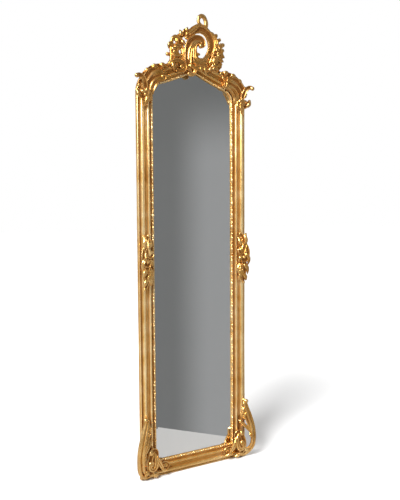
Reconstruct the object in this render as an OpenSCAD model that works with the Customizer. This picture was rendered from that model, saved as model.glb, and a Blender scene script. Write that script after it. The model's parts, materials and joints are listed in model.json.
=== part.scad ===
// Tall gilded floor mirror: moulded frame with carved scrolls, plate glass and a folding back strut.
// Millimetres, +Z up. The front faces -Y, the origin is on the floor under the middle of the bottom rail.
// The face modules work in face coordinates: x across, y up the frame, z forward from the frame's back.

/* [Frame] */
// Width across the outside of the two stiles
frame_w = 478; // [420:2:560]
// Height at which the straight stiles end and the arch begins
stile_top = 1484; // [1300:4:1700]
// Face width of the moulding
face_w = 67; // [62:1:80]
// Depth of the main ridge in front of the frame's back
ridge_d = 30; // [28:1:40]
// Radius of the opening's upper corners
shoulder_r = 40; // [32:1:55]
// Angle through which each upper corner turns
shoulder_turn = 73; // [70:1:76]
// Radius of the hollow rise to the top of the arch
arch_r = 860; // [800:10:1000]

/* [Moulding] */
// Width of the rebate that holds the glass
rebate_w = 10; // [8:0.5:12]
// Depth of the rebate
rebate_d = 12; // [12:0.5:14]
// Thickness of the sight lip in front of the glass
lip_t = 3; // [2.5:0.5:4]
// Half width of the outer bead
outer_bead_r = 4; // [3:0.5:5]
// Width across the main ridge
ridge_w = 17; // [14:1:20]
// Width across the inner ridge
inner_ridge_w = 11; // [9:1:13]
// Depth of the inner ridge in front of the frame's back
inner_ridge_d = 26; // [24:1:28]
// Height of the carved bead strip above the lip
bead_h = 6; // [4:0.5:7]

/* [Glass and back] */
// Thickness of the mirror glass
glass_t = 5; // [3:0.5:6]
// Thickness of the slip sheet behind the glass
slip_t = 2; // [1:0.5:3]
// How far the glass reaches under the sight lip
glass_lap = 8; // [6:0.5:9]
// Turn button length
button_l = 36; // [30:1:40]
// Turn button width
button_w = 12; // [10:1:14]
// Thickness of sheet metal in buttons and plates
plate_t = 1.6; // [1.2:0.1:2]
// Shank radius of the small screws
screw_r = 1.8; // [1.5:0.1:2]

/* [Strut] */
// Height of the strut's hinge
hinge_z = 900; // [700:10:1000]
// Angle of the open strut from the back of the mirror
strut_open = 11; // [9:0.5:14]
// Strut width at the hinge
strut_w = 60; // [50:1:80]
// Strut width at the foot
strut_foot_w = 44; // [36:1:50]
// Strut thickness
strut_t = 15; // [12:1:18]
// Thickness of the cross batten
batten_t = 18; // [16:1:22]
// Height of the cross batten
batten_h = 60; // [50:1:80]
// Hinge pin radius
pin_r = 1.6; // [1.2:0.1:2]

/* [Hangers] */
// Height of the hanging rings' hinges
ring_z = 1330; // [1200:10:1400]
// Radius of the ring's round end
ring_r = 12; // [10:1:14]
// Radius of the ring's wire
wire_r = 1.8; // [1.5:0.1:2]

/* [Ornament] */
// How far below the opening's peak the crest's drawing begins
crest_drop = 97; // [90:1:104]
// Height of the middle sprays' centre
mid_z = 848; // [700:2:1000]
// Gap between a carving and the moulding that it is glued to
seat_gap = 0.5; // [0.4:0.1:0.8]

/* [Hidden] */
$fn = 48;
fine = 72;

// Outline of the opening, all at the sight edge
half_w = frame_w / 2;
sight_x = half_w - face_w;
sight_z = face_w;
shoulder_x = sight_x - shoulder_r;
turn_x = shoulder_x + shoulder_r * cos(shoulder_turn);
turn_z = stile_top + shoulder_r * sin(shoulder_turn);
arch_x = turn_x + arch_r * cos(shoulder_turn);
arch_z = turn_z + arch_r * sin(shoulder_turn);
peak_z = arch_z - sqrt(arch_r * arch_r - arch_x * arch_x);
over = 20;

// Moulding profile values: u runs outwards from the sight edge, d forwards from the back
seat_d = rebate_d + lip_t;
quirk = 3;
ridge_u = face_w - 2 * outer_bead_r - quirk - ridge_w / 2;
ridge_base = 19;
inner_u = rebate_w + 7 + inner_ridge_w / 2;
cove_u0 = inner_u + inner_ridge_w / 2;
cove_u1 = ridge_u - ridge_w / 2;
cove_drop = 3.5;
outer_d = 15;
undercut = 6;
undercut_d = 7;
groove_d = seat_d - 2;
bead_u = rebate_w / 2;
// The flat strip under the bottom rail is centred on the origin
floor_d = (undercut_d + outer_d) / 2;

function arc(cx, cy, rx, ry, a0, a1, n) =
    [for (i = [0:n]) let (a = a0 + (a1 - a0) * i / n) [cx + rx * cos(a), cy + ry * sin(a)]];

function profile() = concat(
    [[face_w - undercut, 0], [face_w, undercut_d]],
    arc(face_w - outer_bead_r, outer_d, outer_bead_r, outer_bead_r + 1, 0, 180, 10),
    [[face_w - 2 * outer_bead_r - quirk / 2, outer_d - 1]],
    arc(ridge_u, ridge_base, ridge_w / 2, ridge_d - ridge_base, 0, 180, 14),
    arc((cove_u0 + cove_u1) / 2, ridge_base, (cove_u1 - cove_u0) / 2 - 0.2, cove_drop, 0, -180, 8),
    arc(inner_u, ridge_base, inner_ridge_w / 2, inner_ridge_d - ridge_base, 0, 180, 12),
    [[rebate_w + 7, groove_d], [rebate_w, groove_d], [rebate_w, seat_d], [0, seat_d], [0, rebate_d],
    [rebate_w, rebate_d], [rebate_w, 0]]);

function bead_profile() = concat([[bead_u - 4.2, seat_d], [bead_u + 4.2, seat_d]],
    arc(bead_u, seat_d + 1.5, 4.2, bead_h - 1.5, 0, 180, 10));

// Space that the moulding and its bead take, grown by the seat gap, for fitting the carvings
function fit_profile() = let (g = seat_gap) concat(
    [[0, -1], [face_w + g, -1]],
    arc(face_w - outer_bead_r, outer_d, outer_bead_r + g, outer_bead_r + 1 + g, 0, 180, 4),
    arc(ridge_u, ridge_base, ridge_w / 2 + g, ridge_d - ridge_base + g, 0, 180, 6),
    arc(inner_u, ridge_base, inner_ridge_w / 2 + g, inner_ridge_d - ridge_base + g, 0, 180, 5),
    [[rebate_w + 7, seat_d], [rebate_w, seat_d]],
    arc(bead_u, seat_d + 1.5, 4.2 + g, bead_h - 1.5 + g, 0, 180, 4), [[0, seat_d]]);

// From face coordinates to the real frame
module front() translate([0, floor_d, 0]) rotate([90, 0, 0]) children();

// A profile run up the right stile, along the bottom rail and round the right half of the top
module up_stile(shape, z0, z1) translate([sight_x, z1, 0]) rotate([90, 0, 0])
    linear_extrude(z1 - z0) polygon(shape);

module along_rail(shape, x1) translate([x1, sight_z, 0]) rotate([0, 0, -90]) rotate([90, 0, 0])
    linear_extrude(2 * x1) polygon(shape);

// The two arcs of the top: the rounded shoulder, and the hollow arch rail that rises from it
arch_sweep = 17;
module shoulder_turned(shape, fine, more = 0) translate([shoulder_x, stile_top, 0]) rotate([0, 0, -more])
    rotate_extrude(angle = shoulder_turn + 2 * more, $fn = fine)
        polygon([for (p = shape) [p[0] + shoulder_r, p[1]]]);

module arch_turned(shape, fine, more = 0) intersection() {
    translate([arch_x, arch_z, 0]) rotate([0, 0, 180 + shoulder_turn - arch_sweep])
        rotate_extrude(angle = arch_sweep + more, $fn = fine * 4)
            polygon([for (p = shape) [arch_r - p[0], p[1]]]);
    translate([0, stile_top - over, -2 * over]) cube([frame_w, stile_top, ridge_d + 4 * over]);
}

module stile_side(shape) intersection() {
    up_stile(shape, -over, stile_top);
    translate([0, 0, -2 * over]) linear_extrude(ridge_d + 4 * over) polygon([[sight_x - over, sight_z + over],
        [sight_x - over, stile_top], [half_w + over, stile_top], [half_w + over, -over]]);
}

module rail_side(shape) intersection() {
    along_rail(shape, half_w + over);
    translate([0, 0, -2 * over]) linear_extrude(ridge_d + 4 * over) polygon([[sight_x - over, sight_z + over],
        [over - sight_x, sight_z + over], [-half_w - over, -over], [half_w + over, -over]]);
}

// Outline of a sheet that reaches past the sight edge by lap
function half_outline(lap) = concat([[sight_x + lap, sight_z - lap]],
    arc(shoulder_x, stile_top, shoulder_r + lap, shoulder_r + lap, 0, shoulder_turn, 12),
    let (r = arch_r - lap, a1 = 180 + acos(arch_x / r))
    [for (i = [1:12]) let (a = 180 + shoulder_turn + (a1 - 180 - shoulder_turn) * i / 12)
        [arch_x + r * cos(a), arch_z + r * sin(a)]]);

function sheet_outline(lap) = let (h = half_outline(lap), n = len(h))
    concat(h, [for (i = [n - 2:-1:0]) [-h[i][0], h[i][1]]]);

// Fasteners: a pan-head screw that stands on the back at depth z, its shank reaching into the frame
head_h = 1.8;
head_r = 3.4;
screw_gap = 0.02;
pilot_d = 10;

module screw(reach, stand) {
    translate([0, 0, -stand - head_h]) cylinder(r1 = head_r - 0.8, r2 = head_r, h = head_h);
    translate([0, 0, -stand - 0.1]) cylinder(r = screw_r, h = reach + stand + 0.1);
}

module pilot(reach) translate([0, 0, -1]) cylinder(r = screw_r + screw_gap, h = reach + 1.1);

// Places of the turn buttons: [x, y, angle of the button's long side]
button_u = 20;
button_gap = 0.2;
button_side_z = [330, 780, 1400];
button_rail_x = 90;
button_places = concat([for (z = button_side_z) [-sight_x - button_u, z, 0]],
    [for (z = button_side_z) [sight_x + button_u, z, 0]],
    [for (s = [-1, 1]) [s * button_rail_x, sight_z - button_u, 90]]);

// Plates on the back: L plates on the lower corners, straight ones over the shoulder, arch and centre joints
plate_w = 16;
plate_l = 70;
plate_u = 30;
plate_hole = 8;
plate_holes_t = [-32, -12, 12, 32];
corner_xy = [half_w - plate_u, plate_u];
shoulder_xy = [sight_x + plate_u + 12, stile_top];
centre_xy = [0, peak_z + face_w / 3];
arch_joint_r = shoulder_r + plate_u + 5;
arch_joint = [shoulder_x + arch_joint_r * cos(shoulder_turn), stile_top + arch_joint_r * sin(shoulder_turn)];
corner_holes = [for (t = [plate_l - plate_hole, plate_l / 2]) each [[corner_xy[0], corner_xy[1] + t],
    [corner_xy[0] - t, corner_xy[1]]]];
shoulder_holes = [for (t = plate_holes_t) [shoulder_xy[0], shoulder_xy[1] + t]];
function arch_joint_hole(t) = arch_joint + t * [-sin(shoulder_turn), cos(shoulder_turn)];
centre_holes = [for (t = [-42, -20, 20, 42]) [t, centre_xy[1]]];

// Strut and batten places
batten_l = 2 * (sight_x + 43);
batten_z = hinge_z + 3;
batten_edge = 15;
batten_holes = [for (s = [-1, 1], t = [batten_edge, batten_h - batten_edge])
    [s * (sight_x + button_u + 8), batten_z + t]];
axis_d = batten_t + 3.5;
knuckle_r = 3.5;
knuckle_l = strut_w / 5;
knuckle_gap = 0.3;
leaf_t = 2;
leaf_h = 28;
pin_fit = 0.06;
leg_gap = 3;
foot_h = 8;
leaf_holes = [-strut_w / 3, strut_w / 3];
leaf_hole_h = 18;
ring_x = sight_x + 33;
ring_d = 3.2;
ring_tube_r = 3;
ring_fit = 0.08;
ring_tube_l = 12;
ring_plate_w = 14;
ring_plate_l = 32;

module button_holes(side) for (b = button_places) if (side * b[0] > 0 && b[2] == 0)
    translate([side * b[0], b[1], 0]) pilot(pilot_d);

module stile(side) color("goldenrod") front() mirror([side < 0 ? 1 : 0, 0, 0]) difference() {
    stile_side(profile());
    button_holes(side);
    for (p = corner_holes) if (p[0] > sight_x) translate([p[0], p[1], 0]) pilot(pilot_d);
    for (p = shoulder_holes) if (p[1] < stile_top) translate([p[0], p[1], 0]) pilot(pilot_d);
    for (p = batten_holes) if (p[0] > 0) translate([p[0], p[1], 0]) pilot(pilot_d);
    translate([ring_x, ring_z + ring_plate_l - plate_hole, 0]) pilot(pilot_d);
}

module left_stile() stile(-1);
module right_stile() stile(1);

module bottom_rail() color("goldenrod") front() difference() {
    rail_side(profile());
    for (b = button_places) if (b[2] != 0) translate([b[0], b[1], 0]) pilot(pilot_d);
    for (s = [-1, 1], p = corner_holes) if (p[0] < corner_xy[0])
        translate([s * p[0], p[1], 0]) pilot(pilot_d);
}

module shoulder(side) color("goldenrod") front() mirror([side < 0 ? 1 : 0, 0, 0]) difference() {
    shoulder_turned(profile(), fine);
    for (p = shoulder_holes) if (p[1] > stile_top) translate([p[0], p[1], 0]) pilot(pilot_d);
    for (t = plate_holes_t) if (t < 0) translate(arch_joint_hole(t)) pilot(pilot_d);
}

module shoulder_left() shoulder(-1);
module shoulder_right() shoulder(1);

module arch_rail(side) color("goldenrod") front() mirror([side < 0 ? 1 : 0, 0, 0]) difference() {
    arch_turned(profile(), fine);
    for (p = centre_holes) if (p[0] > 0) translate([p[0], p[1], 0]) pilot(pilot_d);
    for (t = plate_holes_t) if (t > 0) translate(arch_joint_hole(t)) pilot(pilot_d);
}

module arch_rail_left() arch_rail(-1);
module arch_rail_right() arch_rail(1);

module side_bead(side) color("gold") front() mirror([side < 0 ? 1 : 0, 0, 0]) stile_side(bead_profile());
module left_bead() side_bead(-1);
module right_bead() side_bead(1);
module bottom_bead() color("gold") front() rail_side(bead_profile());
module shoulder_bead(side) color("gold") front() mirror([side < 0 ? 1 : 0, 0, 0])
    shoulder_turned(bead_profile(), fine);
module shoulder_bead_left() shoulder_bead(-1);
module shoulder_bead_right() shoulder_bead(1);
module arch_bead(side) color("gold") front() mirror([side < 0 ? 1 : 0, 0, 0])
    arch_turned(bead_profile(), fine);
module arch_bead_left() arch_bead(-1);
module arch_bead_right() arch_bead(1);

module mirror_glass() color("lightsteelblue") front() translate([0, 0, rebate_d - glass_t])
    linear_extrude(glass_t) polygon(sheet_outline(glass_lap));

module glass_slip() color("dimgray") front() translate([0, 0, rebate_d - glass_t - slip_t])
    linear_extrude(slip_t) polygon(sheet_outline(glass_lap - 0.5));

module backing_board() color("burlywood") front()
    linear_extrude(rebate_d - glass_t - slip_t) polygon(sheet_outline(glass_lap + 1));

module turn_button(i) color("silver") front() translate([button_places[i][0], button_places[i][1], 0])
    rotate([0, 0, button_places[i][2]]) translate([0, 0, -button_gap - plate_t])
    difference() {
        linear_extrude(plate_t) union() {
            square([button_l - button_w, button_w], center = true);
            for (s = [-1, 1]) translate([s * (button_l - button_w) / 2, 0]) circle(button_w / 2);
        }
        translate([0, 0, -1]) cylinder(r = screw_r + pin_fit, h = plate_t + 2);
    }

module turn_button_1() turn_button(0);
module turn_button_2() turn_button(1);
module turn_button_3() turn_button(2);
module turn_button_4() turn_button(3);
module turn_button_5() turn_button(4);
module turn_button_6() turn_button(5);
module turn_button_7() turn_button(6);
module turn_button_8() turn_button(7);

module button_screws() color("gray") front() for (b = button_places)
    translate([b[0], b[1], 0]) screw(pilot_d, plate_t + 2 * button_gap);

module plate_bar(l) linear_extrude(plate_t) square([l, plate_w], center = true);

module corner_plates() color("silver") front() for (s = [0, 1]) mirror([s, 0, 0])
    translate([corner_xy[0], corner_xy[1], -plate_t]) difference() {
        linear_extrude(plate_t) union() {
            translate([-plate_l, -plate_w / 2]) square([plate_l + plate_w / 2, plate_w]);
            translate([-plate_w / 2, -plate_w / 2]) square([plate_w, plate_l + plate_w / 2]);
        }
        for (p = corner_holes) translate([p[0] - corner_xy[0], p[1] - corner_xy[1], -1])
            cylinder(r = screw_r + screw_gap, h = plate_t + 2);
    }

module holed_plate(l, places) difference() {
    plate_bar(l);
    for (t = places) translate([t, 0, -1]) cylinder(r = screw_r + screw_gap, h = plate_t + 2);
}

module shoulder_plates() color("silver") front() for (s = [0, 1]) mirror([s, 0, 0]) {
    translate([shoulder_xy[0], shoulder_xy[1], -plate_t]) rotate([0, 0, 90])
        holed_plate(plate_l + plate_w, plate_holes_t);
    translate([arch_joint[0], arch_joint[1], -plate_t]) rotate([0, 0, shoulder_turn + 90])
        holed_plate(plate_l + plate_w, plate_holes_t);
}

module centre_plate() color("silver") front() translate([0, centre_xy[1], -plate_t])
    holed_plate(plate_l + 2 * plate_w, [for (p = centre_holes) p[0]]);

module plate_screws() color("gray") front() {
    for (s = [-1, 1], p = concat(corner_holes, shoulder_holes, [for (t = plate_holes_t) arch_joint_hole(t)]))
        translate([s * p[0], p[1], 0]) screw(pilot_d, plate_t);
    for (p = centre_holes) translate([p[0], p[1], 0]) screw(pilot_d, plate_t);
}

// Back strut: batten, stop hinge, leg and foot
module cross_batten() color("burlywood") front() difference() {
    translate([-batten_l / 2, batten_z, -batten_t]) cube([batten_l, batten_h, batten_t]);
    for (p = batten_holes) translate([p[0], p[1], -batten_t - 1])
        cylinder(r = screw_r + screw_gap, h = batten_t + 2);
    for (x = leaf_holes) translate([x, hinge_z + leaf_hole_h, -batten_t - 1])
        cylinder(r = screw_r + screw_gap, h = pilot_d + 1.1);
}

module batten_screws() color("gray") front() for (p = batten_holes)
    translate([p[0], p[1], 0]) screw(pilot_d, batten_t);

module at_hinge() translate([0, hinge_z, -axis_d]) children();
module knuckle(x0, l, fit) translate([x0, 0, 0]) rotate([0, 90, 0]) difference() {
    cylinder(r = knuckle_r, h = l);
    translate([0, 0, -1]) cylinder(r = pin_r + fit, h = l + 2);
}

// A hinge leaf lies on the plane z = knuckle_r of the hinge axis and runs up from it
module leaf(tabs, fit) {
    difference() {
        translate([-strut_w / 2, knuckle_r + knuckle_gap, knuckle_r - leaf_t])
            cube([strut_w, leaf_h - knuckle_r, leaf_t]);
        for (x = leaf_holes) translate([x, leaf_hole_h, 0])
            cylinder(r = screw_r + screw_gap, h = 2 * knuckle_r);
    }
    for (t = tabs) {
        knuckle(t[0], t[1], fit);
        difference() {
            translate([t[0], 0, knuckle_r - leaf_t]) cube([t[1], knuckle_r + 1, leaf_t]);
            translate([t[0] - 1, 0, 0]) rotate([0, 90, 0]) cylinder(r = pin_r + fit, h = t[1] + 2);
        }
    }
}

fixed_tabs = [for (i = [0, 2, 4]) [i * knuckle_l - strut_w / 2, knuckle_l]];
moving_tabs = [for (i = [1, 3]) [i * knuckle_l - strut_w / 2 + knuckle_gap, knuckle_l - 2 * knuckle_gap]];

module hinge_leaf_fixed() color("silver") front() at_hinge() leaf(fixed_tabs, pin_fit / 3);
module opened() rotate([strut_open, 0, 0]) children();
module hinge_leaf_moving() color("silver") front() at_hinge() opened() mirror([0, 1, 0])
    leaf(moving_tabs, pin_fit);
module hinge_pin() color("gray") front() at_hinge() translate([-strut_w / 2 - 1, 0, 0]) rotate([0, 90, 0])
    cylinder(r = pin_r, h = strut_w + 2);

module leaf_screw() {
    translate([0, 0, knuckle_r - leaf_t - head_h]) cylinder(r1 = head_r - 0.8, r2 = head_r, h = head_h);
    translate([0, 0, knuckle_r - leaf_t - 0.1]) cylinder(r = screw_r, h = leaf_t + pilot_d + 0.1);
}

module hinge_screws_fixed() color("gray") front() at_hinge() for (x = leaf_holes)
    translate([x, leaf_hole_h, 0]) leaf_screw();
module hinge_screws_moving() color("gray") front() at_hinge() opened() for (x = leaf_holes)
    translate([x, -leaf_hole_h, 0]) leaf_screw();

leg_l = hinge_z / cos(strut_open) + 2 * strut_t;
module strut_leg() color("burlywood") front() intersection() {
    at_hinge() opened() difference() {
        translate([0, 0, knuckle_r]) linear_extrude(strut_t) polygon([[-strut_w / 2, -leg_gap],
            [-strut_foot_w / 2, -leg_l], [strut_foot_w / 2, -leg_l], [strut_w / 2, -leg_gap]]);
        for (x = leaf_holes) translate([x, -leaf_hole_h, 0])
            cylinder(r = screw_r + screw_gap, h = knuckle_r + pilot_d + 0.1);
    }
    translate([-strut_w, foot_h, -2 * hinge_z]) cube([2 * strut_w, hinge_z, 2 * hinge_z]);
}

foot_mid = -axis_d - (hinge_z - foot_h) * tan(strut_open) + (knuckle_r + strut_t / 2) / cos(strut_open);
module strut_foot() color("dimgray") front() translate([0, 0, foot_mid]) rotate([-90, 0, 0])
    linear_extrude(foot_h) square([strut_foot_w + 2, strut_t + 8], center = true);

// Hanging rings on the back of the stiles
module ring_plate(side) color("silver") front() translate([side * ring_x, ring_z, 0]) difference() {
    union() {
        translate([-ring_plate_w / 2, 0, -plate_t]) cube([ring_plate_w, ring_plate_l, plate_t]);
        translate([-ring_tube_l / 2, 0, -ring_d]) rotate([0, 90, 0])
            cylinder(r = ring_tube_r, h = ring_tube_l);
    }
    translate([-ring_plate_w, 0, -ring_d]) rotate([0, 90, 0])
        cylinder(r = wire_r + ring_fit, h = 2 * ring_plate_w);
    translate([0, ring_plate_l - plate_hole, -2 * plate_t])
        cylinder(r = screw_r + screw_gap, h = 3 * plate_t);
}

module ring_plate_left() ring_plate(-1);
module ring_plate_right() ring_plate(1);

module hanging_ring(side) color("gray") front() translate([side * ring_x, ring_z, -ring_d]) {
    rotate([0, 0, 180]) rotate_extrude(angle = 180) translate([ring_r, 0]) circle(wire_r);
    translate([-ring_r, 0, 0]) rotate([0, 90, 0]) cylinder(r = wire_r, h = 2 * ring_r);
    for (s = [-1, 1]) translate([s * ring_r, 0, 0]) sphere(wire_r);
}

module ring_left() hanging_ring(-1);
module ring_right() hanging_ring(1);

module ring_screws() color("gray") front() for (s = [-1, 1])
    translate([s * ring_x, ring_z + ring_plate_l - plate_hole, 0]) screw(pilot_d, plate_t);

// Carving strokes: a tube swept along a smooth line through points [x, y, depth, radius]
sides = 6;
steps = 2;
function smooth(a, b, c, d, t) = 0.5 * (2 * b + (c - a) * t + (2 * a - 5 * b + 4 * c - d) * t * t
    + (3 * b - a - 3 * c + d) * t * t * t);
function fine_path(p) = let (n = len(p)) concat(
    [for (i = [0:n - 2], s = [0:steps - 1])
        smooth(p[max(i - 1, 0)], p[i], p[i + 1], p[min(i + 2, n - 1)], s / steps)], [p[n - 1]]);
function xyz(p) = [p[0], p[1], p[2]];
function unit(v) = v / max(norm(v), 0.001);
function across(t) = norm(cross(t, [0, 0, 1])) > 0.05 ? unit(cross(t, [0, 0, 1])) : [1, 0, 0];
function ring_at(c, t, r, flat) = let (a = across(t), b = cross(a, t))
    [for (k = [0:sides - 1]) c + a * r * cos(360 * k / sides) + b * r * flat * sin(360 * k / sides)];

module stroke(p, flat = 0.8) {
    q = fine_path(p);
    n = len(q);
    tans = [for (i = [0:n - 1]) unit(xyz(q[min(i + 1, n - 1)]) - xyz(q[max(i - 1, 0)]))];
    rings = [for (i = [0:n - 1]) each ring_at(xyz(q[i]), tans[i], q[i][3], flat)];
    tips = [xyz(q[0]) - tans[0] * q[0][3] * 0.7, xyz(q[n - 1]) + tans[n - 1] * q[n - 1][3] * 0.7];
    last = (n - 1) * sides;
    polyhedron(points = concat(rings, tips), faces = concat(
        [for (i = [0:n - 2], k = [0:sides - 1]) each let (a = i * sides + k, b = i * sides + (k + 1) % sides)
            [[a, b, a + sides], [b, b + sides, a + sides]]],
        [for (k = [0:sides - 1]) [n * sides, (k + 1) % sides, k]],
        [for (k = [0:sides - 1]) [n * sides + 1, last + k, last + (k + 1) % sides]]));
}

// A leaf or knob from one point [x, y, depth, radius] to another
module lobe(a, b) stroke([a, b], 1);

// A flower: petals round a middle, each one lean further forward than the last
module flower(x, y, d, r, petals = 5, lean = 0) {
    for (k = [0:petals - 1]) let (a = 360 * k / petals + 20)
        lobe([x + 0.3 * r * cos(a), y + 0.3 * r * sin(a), d, 0.3 * r],
            [x + 0.62 * r * cos(a), y + 0.62 * r * sin(a), d - 1 + lean * k, 0.42 * r]);
    lobe([x, y, d - 0.3 * r, 0.5 * r], [x, y, d + 0.2 * r, 0.3 * r]);
}

// The frame's space on the right, for cutting the carvings to it
cut_fine = 36;
cut_more = 0.4;
carve_back = 6;
module frame_space() {
    up_stile(fit_profile(), -over, stile_top + 1);
    shoulder_turned(fit_profile(), cut_fine, cut_more);
    arch_turned(fit_profile(), cut_fine, cut_more);
    along_rail(fit_profile(), half_w);
}

// Cut a carving so that it sits on the moulding, with x measured from the sight edge
module seated(side) front() mirror([side < 0 ? 1 : 0, 0, 0]) difference() {
    translate([sight_x, 0, 0]) children();
    frame_space();
    translate([-frame_w, 0, -frame_w]) cube([2 * frame_w, 2 * stile_top, frame_w + carve_back]);
}

// Crest, in heights above a line below the opening's peak
crest_back = 14;
module at_crest() translate([0, peak_z - crest_drop, 0]) children();

// The frame's space on both sides, with the plane of the crest's back
module crest_cut() {
    for (s = [0, 1]) mirror([s, 0, 0]) translate([-cut_more, 0, 0])
        arch_turned(fit_profile(), cut_fine, cut_more);
    translate([-frame_w, 0, -frame_w]) cube([2 * frame_w, 2 * stile_top, frame_w + crest_back]);
}

module crest_scroll() color("gold") front() difference() {
    at_crest() {
        stroke([[44, 268, 30, 11], [51, 284, 30, 9], [47, 302, 30, 9], [36, 316, 30, 8], [23, 311, 30, 7],
            [18, 298, 30, 6], [20, 286, 30, 6], [30, 276, 30, 7], [42, 272, 30, 8]], 1);
        stroke([[40, 270, 30, 11], [18, 271, 30, 10], [-2, 262, 30, 9], [-18, 248, 30, 9],
            [-32, 226, 30, 7]], 1.1);
        stroke([[46, 268, 30, 11], [62, 258, 30, 9], [80, 247, 30, 7]], 1.1);
        stroke([[-34, 222, 32, 9], [-16, 240, 32, 11], [6, 254, 32, 12], [32, 258, 32, 14],
            [52, 250, 32, 14], [67, 234, 32, 14], [74, 212, 32, 14], [72, 188, 32, 13], [62, 166, 32, 12],
            [48, 148, 33, 11], [30, 136, 34, 10], [8, 130, 34, 8]], 1);
        stroke([[12, 199, 43, 7], [20, 193, 42, 10], [31, 203, 40, 11], [26, 217, 38, 11], [9, 220, 36, 13],
            [-11, 212, 35, 15], [-27, 192, 35, 16], [-33, 166, 35, 17], [-33, 140, 35, 15],
            [-28, 118, 36, 12], [-20, 98, 38, 9], [-10, 84, 38, 8],
            [4, 80, 38, 7], [11, 92, 38, 7], [6, 106, 37, 7],
            [-8, 112, 36, 7]], 1);
        stroke([[16, 186, 36, 7], [-2, 174, 34, 8], [-12, 156, 34, 8], [-9, 136, 34, 8], [6, 122, 35, 8],
            [28, 120, 35, 8], [50, 132, 34, 8]], 1);
        stroke([[44, 144, 33, 8], [34, 150, 33, 8], [20, 160, 34, 8], [6, 152, 35, 8], [10, 139, 36, 7],
            [21, 144, 37, 6]], 1);
        stroke([[-8, 110, 34, 8], [14, 113, 35, 9], [36, 116, 35, 9], [54, 124, 34, 8]], 1);
        for (k = [0:3]) lobe([2 + 15 * k, 116, 35, 8], [7 + 16 * k, 103 - 3 * k, 36, 5]);
        lobe([-16, 94, 36, 9], [-6, 78, 33, 5]);
        lobe([8, 208, 42, 9], [20, 206, 42, 8]);
        lobe([72, 244, 30, 9], [82, 252, 30, 5]);
        lobe([43, 264, 30, 10], [45, 278, 30, 9]);
    }
    crest_cut();
}

// Room that the main scroll leaves to the pieces beside it
module crest_clear(side) at_crest() linear_extrude(2 * frame_w) polygon(side < 0 ?
    [[-46, 84], [-50, 140], [-52, 164], [-46, 192], [-41, 210], [-41, 232], [-27, 254], [-6, 272], [90, 300],
    [90, 60], [-34, 60]] :
    [[92, 268], [85, 255], [88, 244], [86, 230], [89, 212], [87, 188], [78, 162], [66, 142], [64, 124],
    [62, 100], [-20, 60], [-20, 300]]);

module crest_spray() color("gold") front() difference() {
    at_crest() {
        stroke([[-112, 112, 33, 6], [-104, 124, 33, 7], [-100, 148, 33, 8], [-101, 172, 33, 8],
            [-100, 198, 33, 7], [-94, 215, 33, 7], [-84, 224, 34, 7], [-77, 221, 34, 5]], 1.1);
        stroke([[-28, 250, 32, 7], [-40, 245, 32, 9], [-46, 232, 32, 9], [-57, 226, 32, 9], [-62, 210, 32, 8],
            [-64, 195, 32, 8], [-56, 182, 32, 9], [-52, 164, 32, 9]], 1.1);
        stroke([[-97, 204, 32, 5], [-84, 209, 32, 6], [-70, 212, 32, 7], [-60, 216, 32, 7]], 1.1);
        stroke([[-100, 186, 32, 8], [-84, 184, 32, 9], [-70, 186, 32, 9], [-58, 184, 32, 8]], 1);
        stroke([[-54, 182, 32, 7], [-50, 162, 32, 8], [-50, 142, 32, 8], [-46, 124, 33, 8]], 1.1);
        stroke([[-102, 152, 32, 8], [-88, 150, 32, 10], [-74, 150, 32, 8], [-60, 152, 32, 6],
            [-48, 156, 32, 7]], 1.1);
        stroke([[-108, 118, 33, 8], [-92, 126, 33, 12], [-76, 126, 33, 11], [-58, 124, 33, 10],
            [-42, 124, 33, 9]], 1);
        stroke([[-78, 122, 37, 7], [-62, 124, 38, 7], [-50, 114, 38, 7], [-50, 100, 38, 7], [-62, 92, 37, 7],
            [-80, 96, 36, 6]], 1);
        lobe([-84, 184, 33, 7], [-78, 150, 33, 7]);
        lobe([-102, 150, 32, 7], [-117, 150, 32, 8]);
        lobe([-38, 246, 32, 8], [-32, 256, 31, 6]);
        lobe([-58, 226, 32, 8], [-62, 240, 32, 6]);
        lobe([-98, 120, 36, 9], [-93, 98, 37, 6]);
        lobe([-92, 170, 33, 11], [-82, 158, 33, 11]);
        flower(-87, 166, 39, 17);
    }
    crest_cut();
    crest_clear(-1);
}

module crest_flowers() color("gold") front() difference() {
    at_crest() {
        stroke([[76, 254, 31, 9], [90, 236, 31, 11], [95, 212, 32, 13], [98, 186, 33, 15], [97, 160, 33, 15],
            [92, 136, 34, 14], [82, 120, 34, 12], [64, 110, 34, 9]], 1);
        stroke([[102, 168, 33, 12], [108, 142, 34, 12], [106, 124, 35, 10], [92, 110, 36, 9]], 1);
        lobe([88, 238, 32, 9], [98, 246, 32, 8]);
        lobe([98, 222, 32, 8], [113, 233, 32, 6]);
        lobe([106, 204, 32, 10], [128, 213, 32, 9]);
        lobe([112, 182, 33, 9], [122, 186, 32, 6]);
        lobe([108, 170, 33, 12], [128, 165, 32, 6]);
        lobe([86, 162, 33, 12], [75, 134, 34, 13]);
        lobe([106, 150, 33, 9], [124, 148, 32, 6]);
        lobe([102, 132, 34, 9], [113, 126, 33, 6]);
        flower(106, 184, 42, 19);
        flower(100, 156, 44, 15);
        flower(85, 122, 42, 13);
        flower(80, 174, 42, 12, 4);
    }
    crest_cut();
    crest_clear(1);
}

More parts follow.
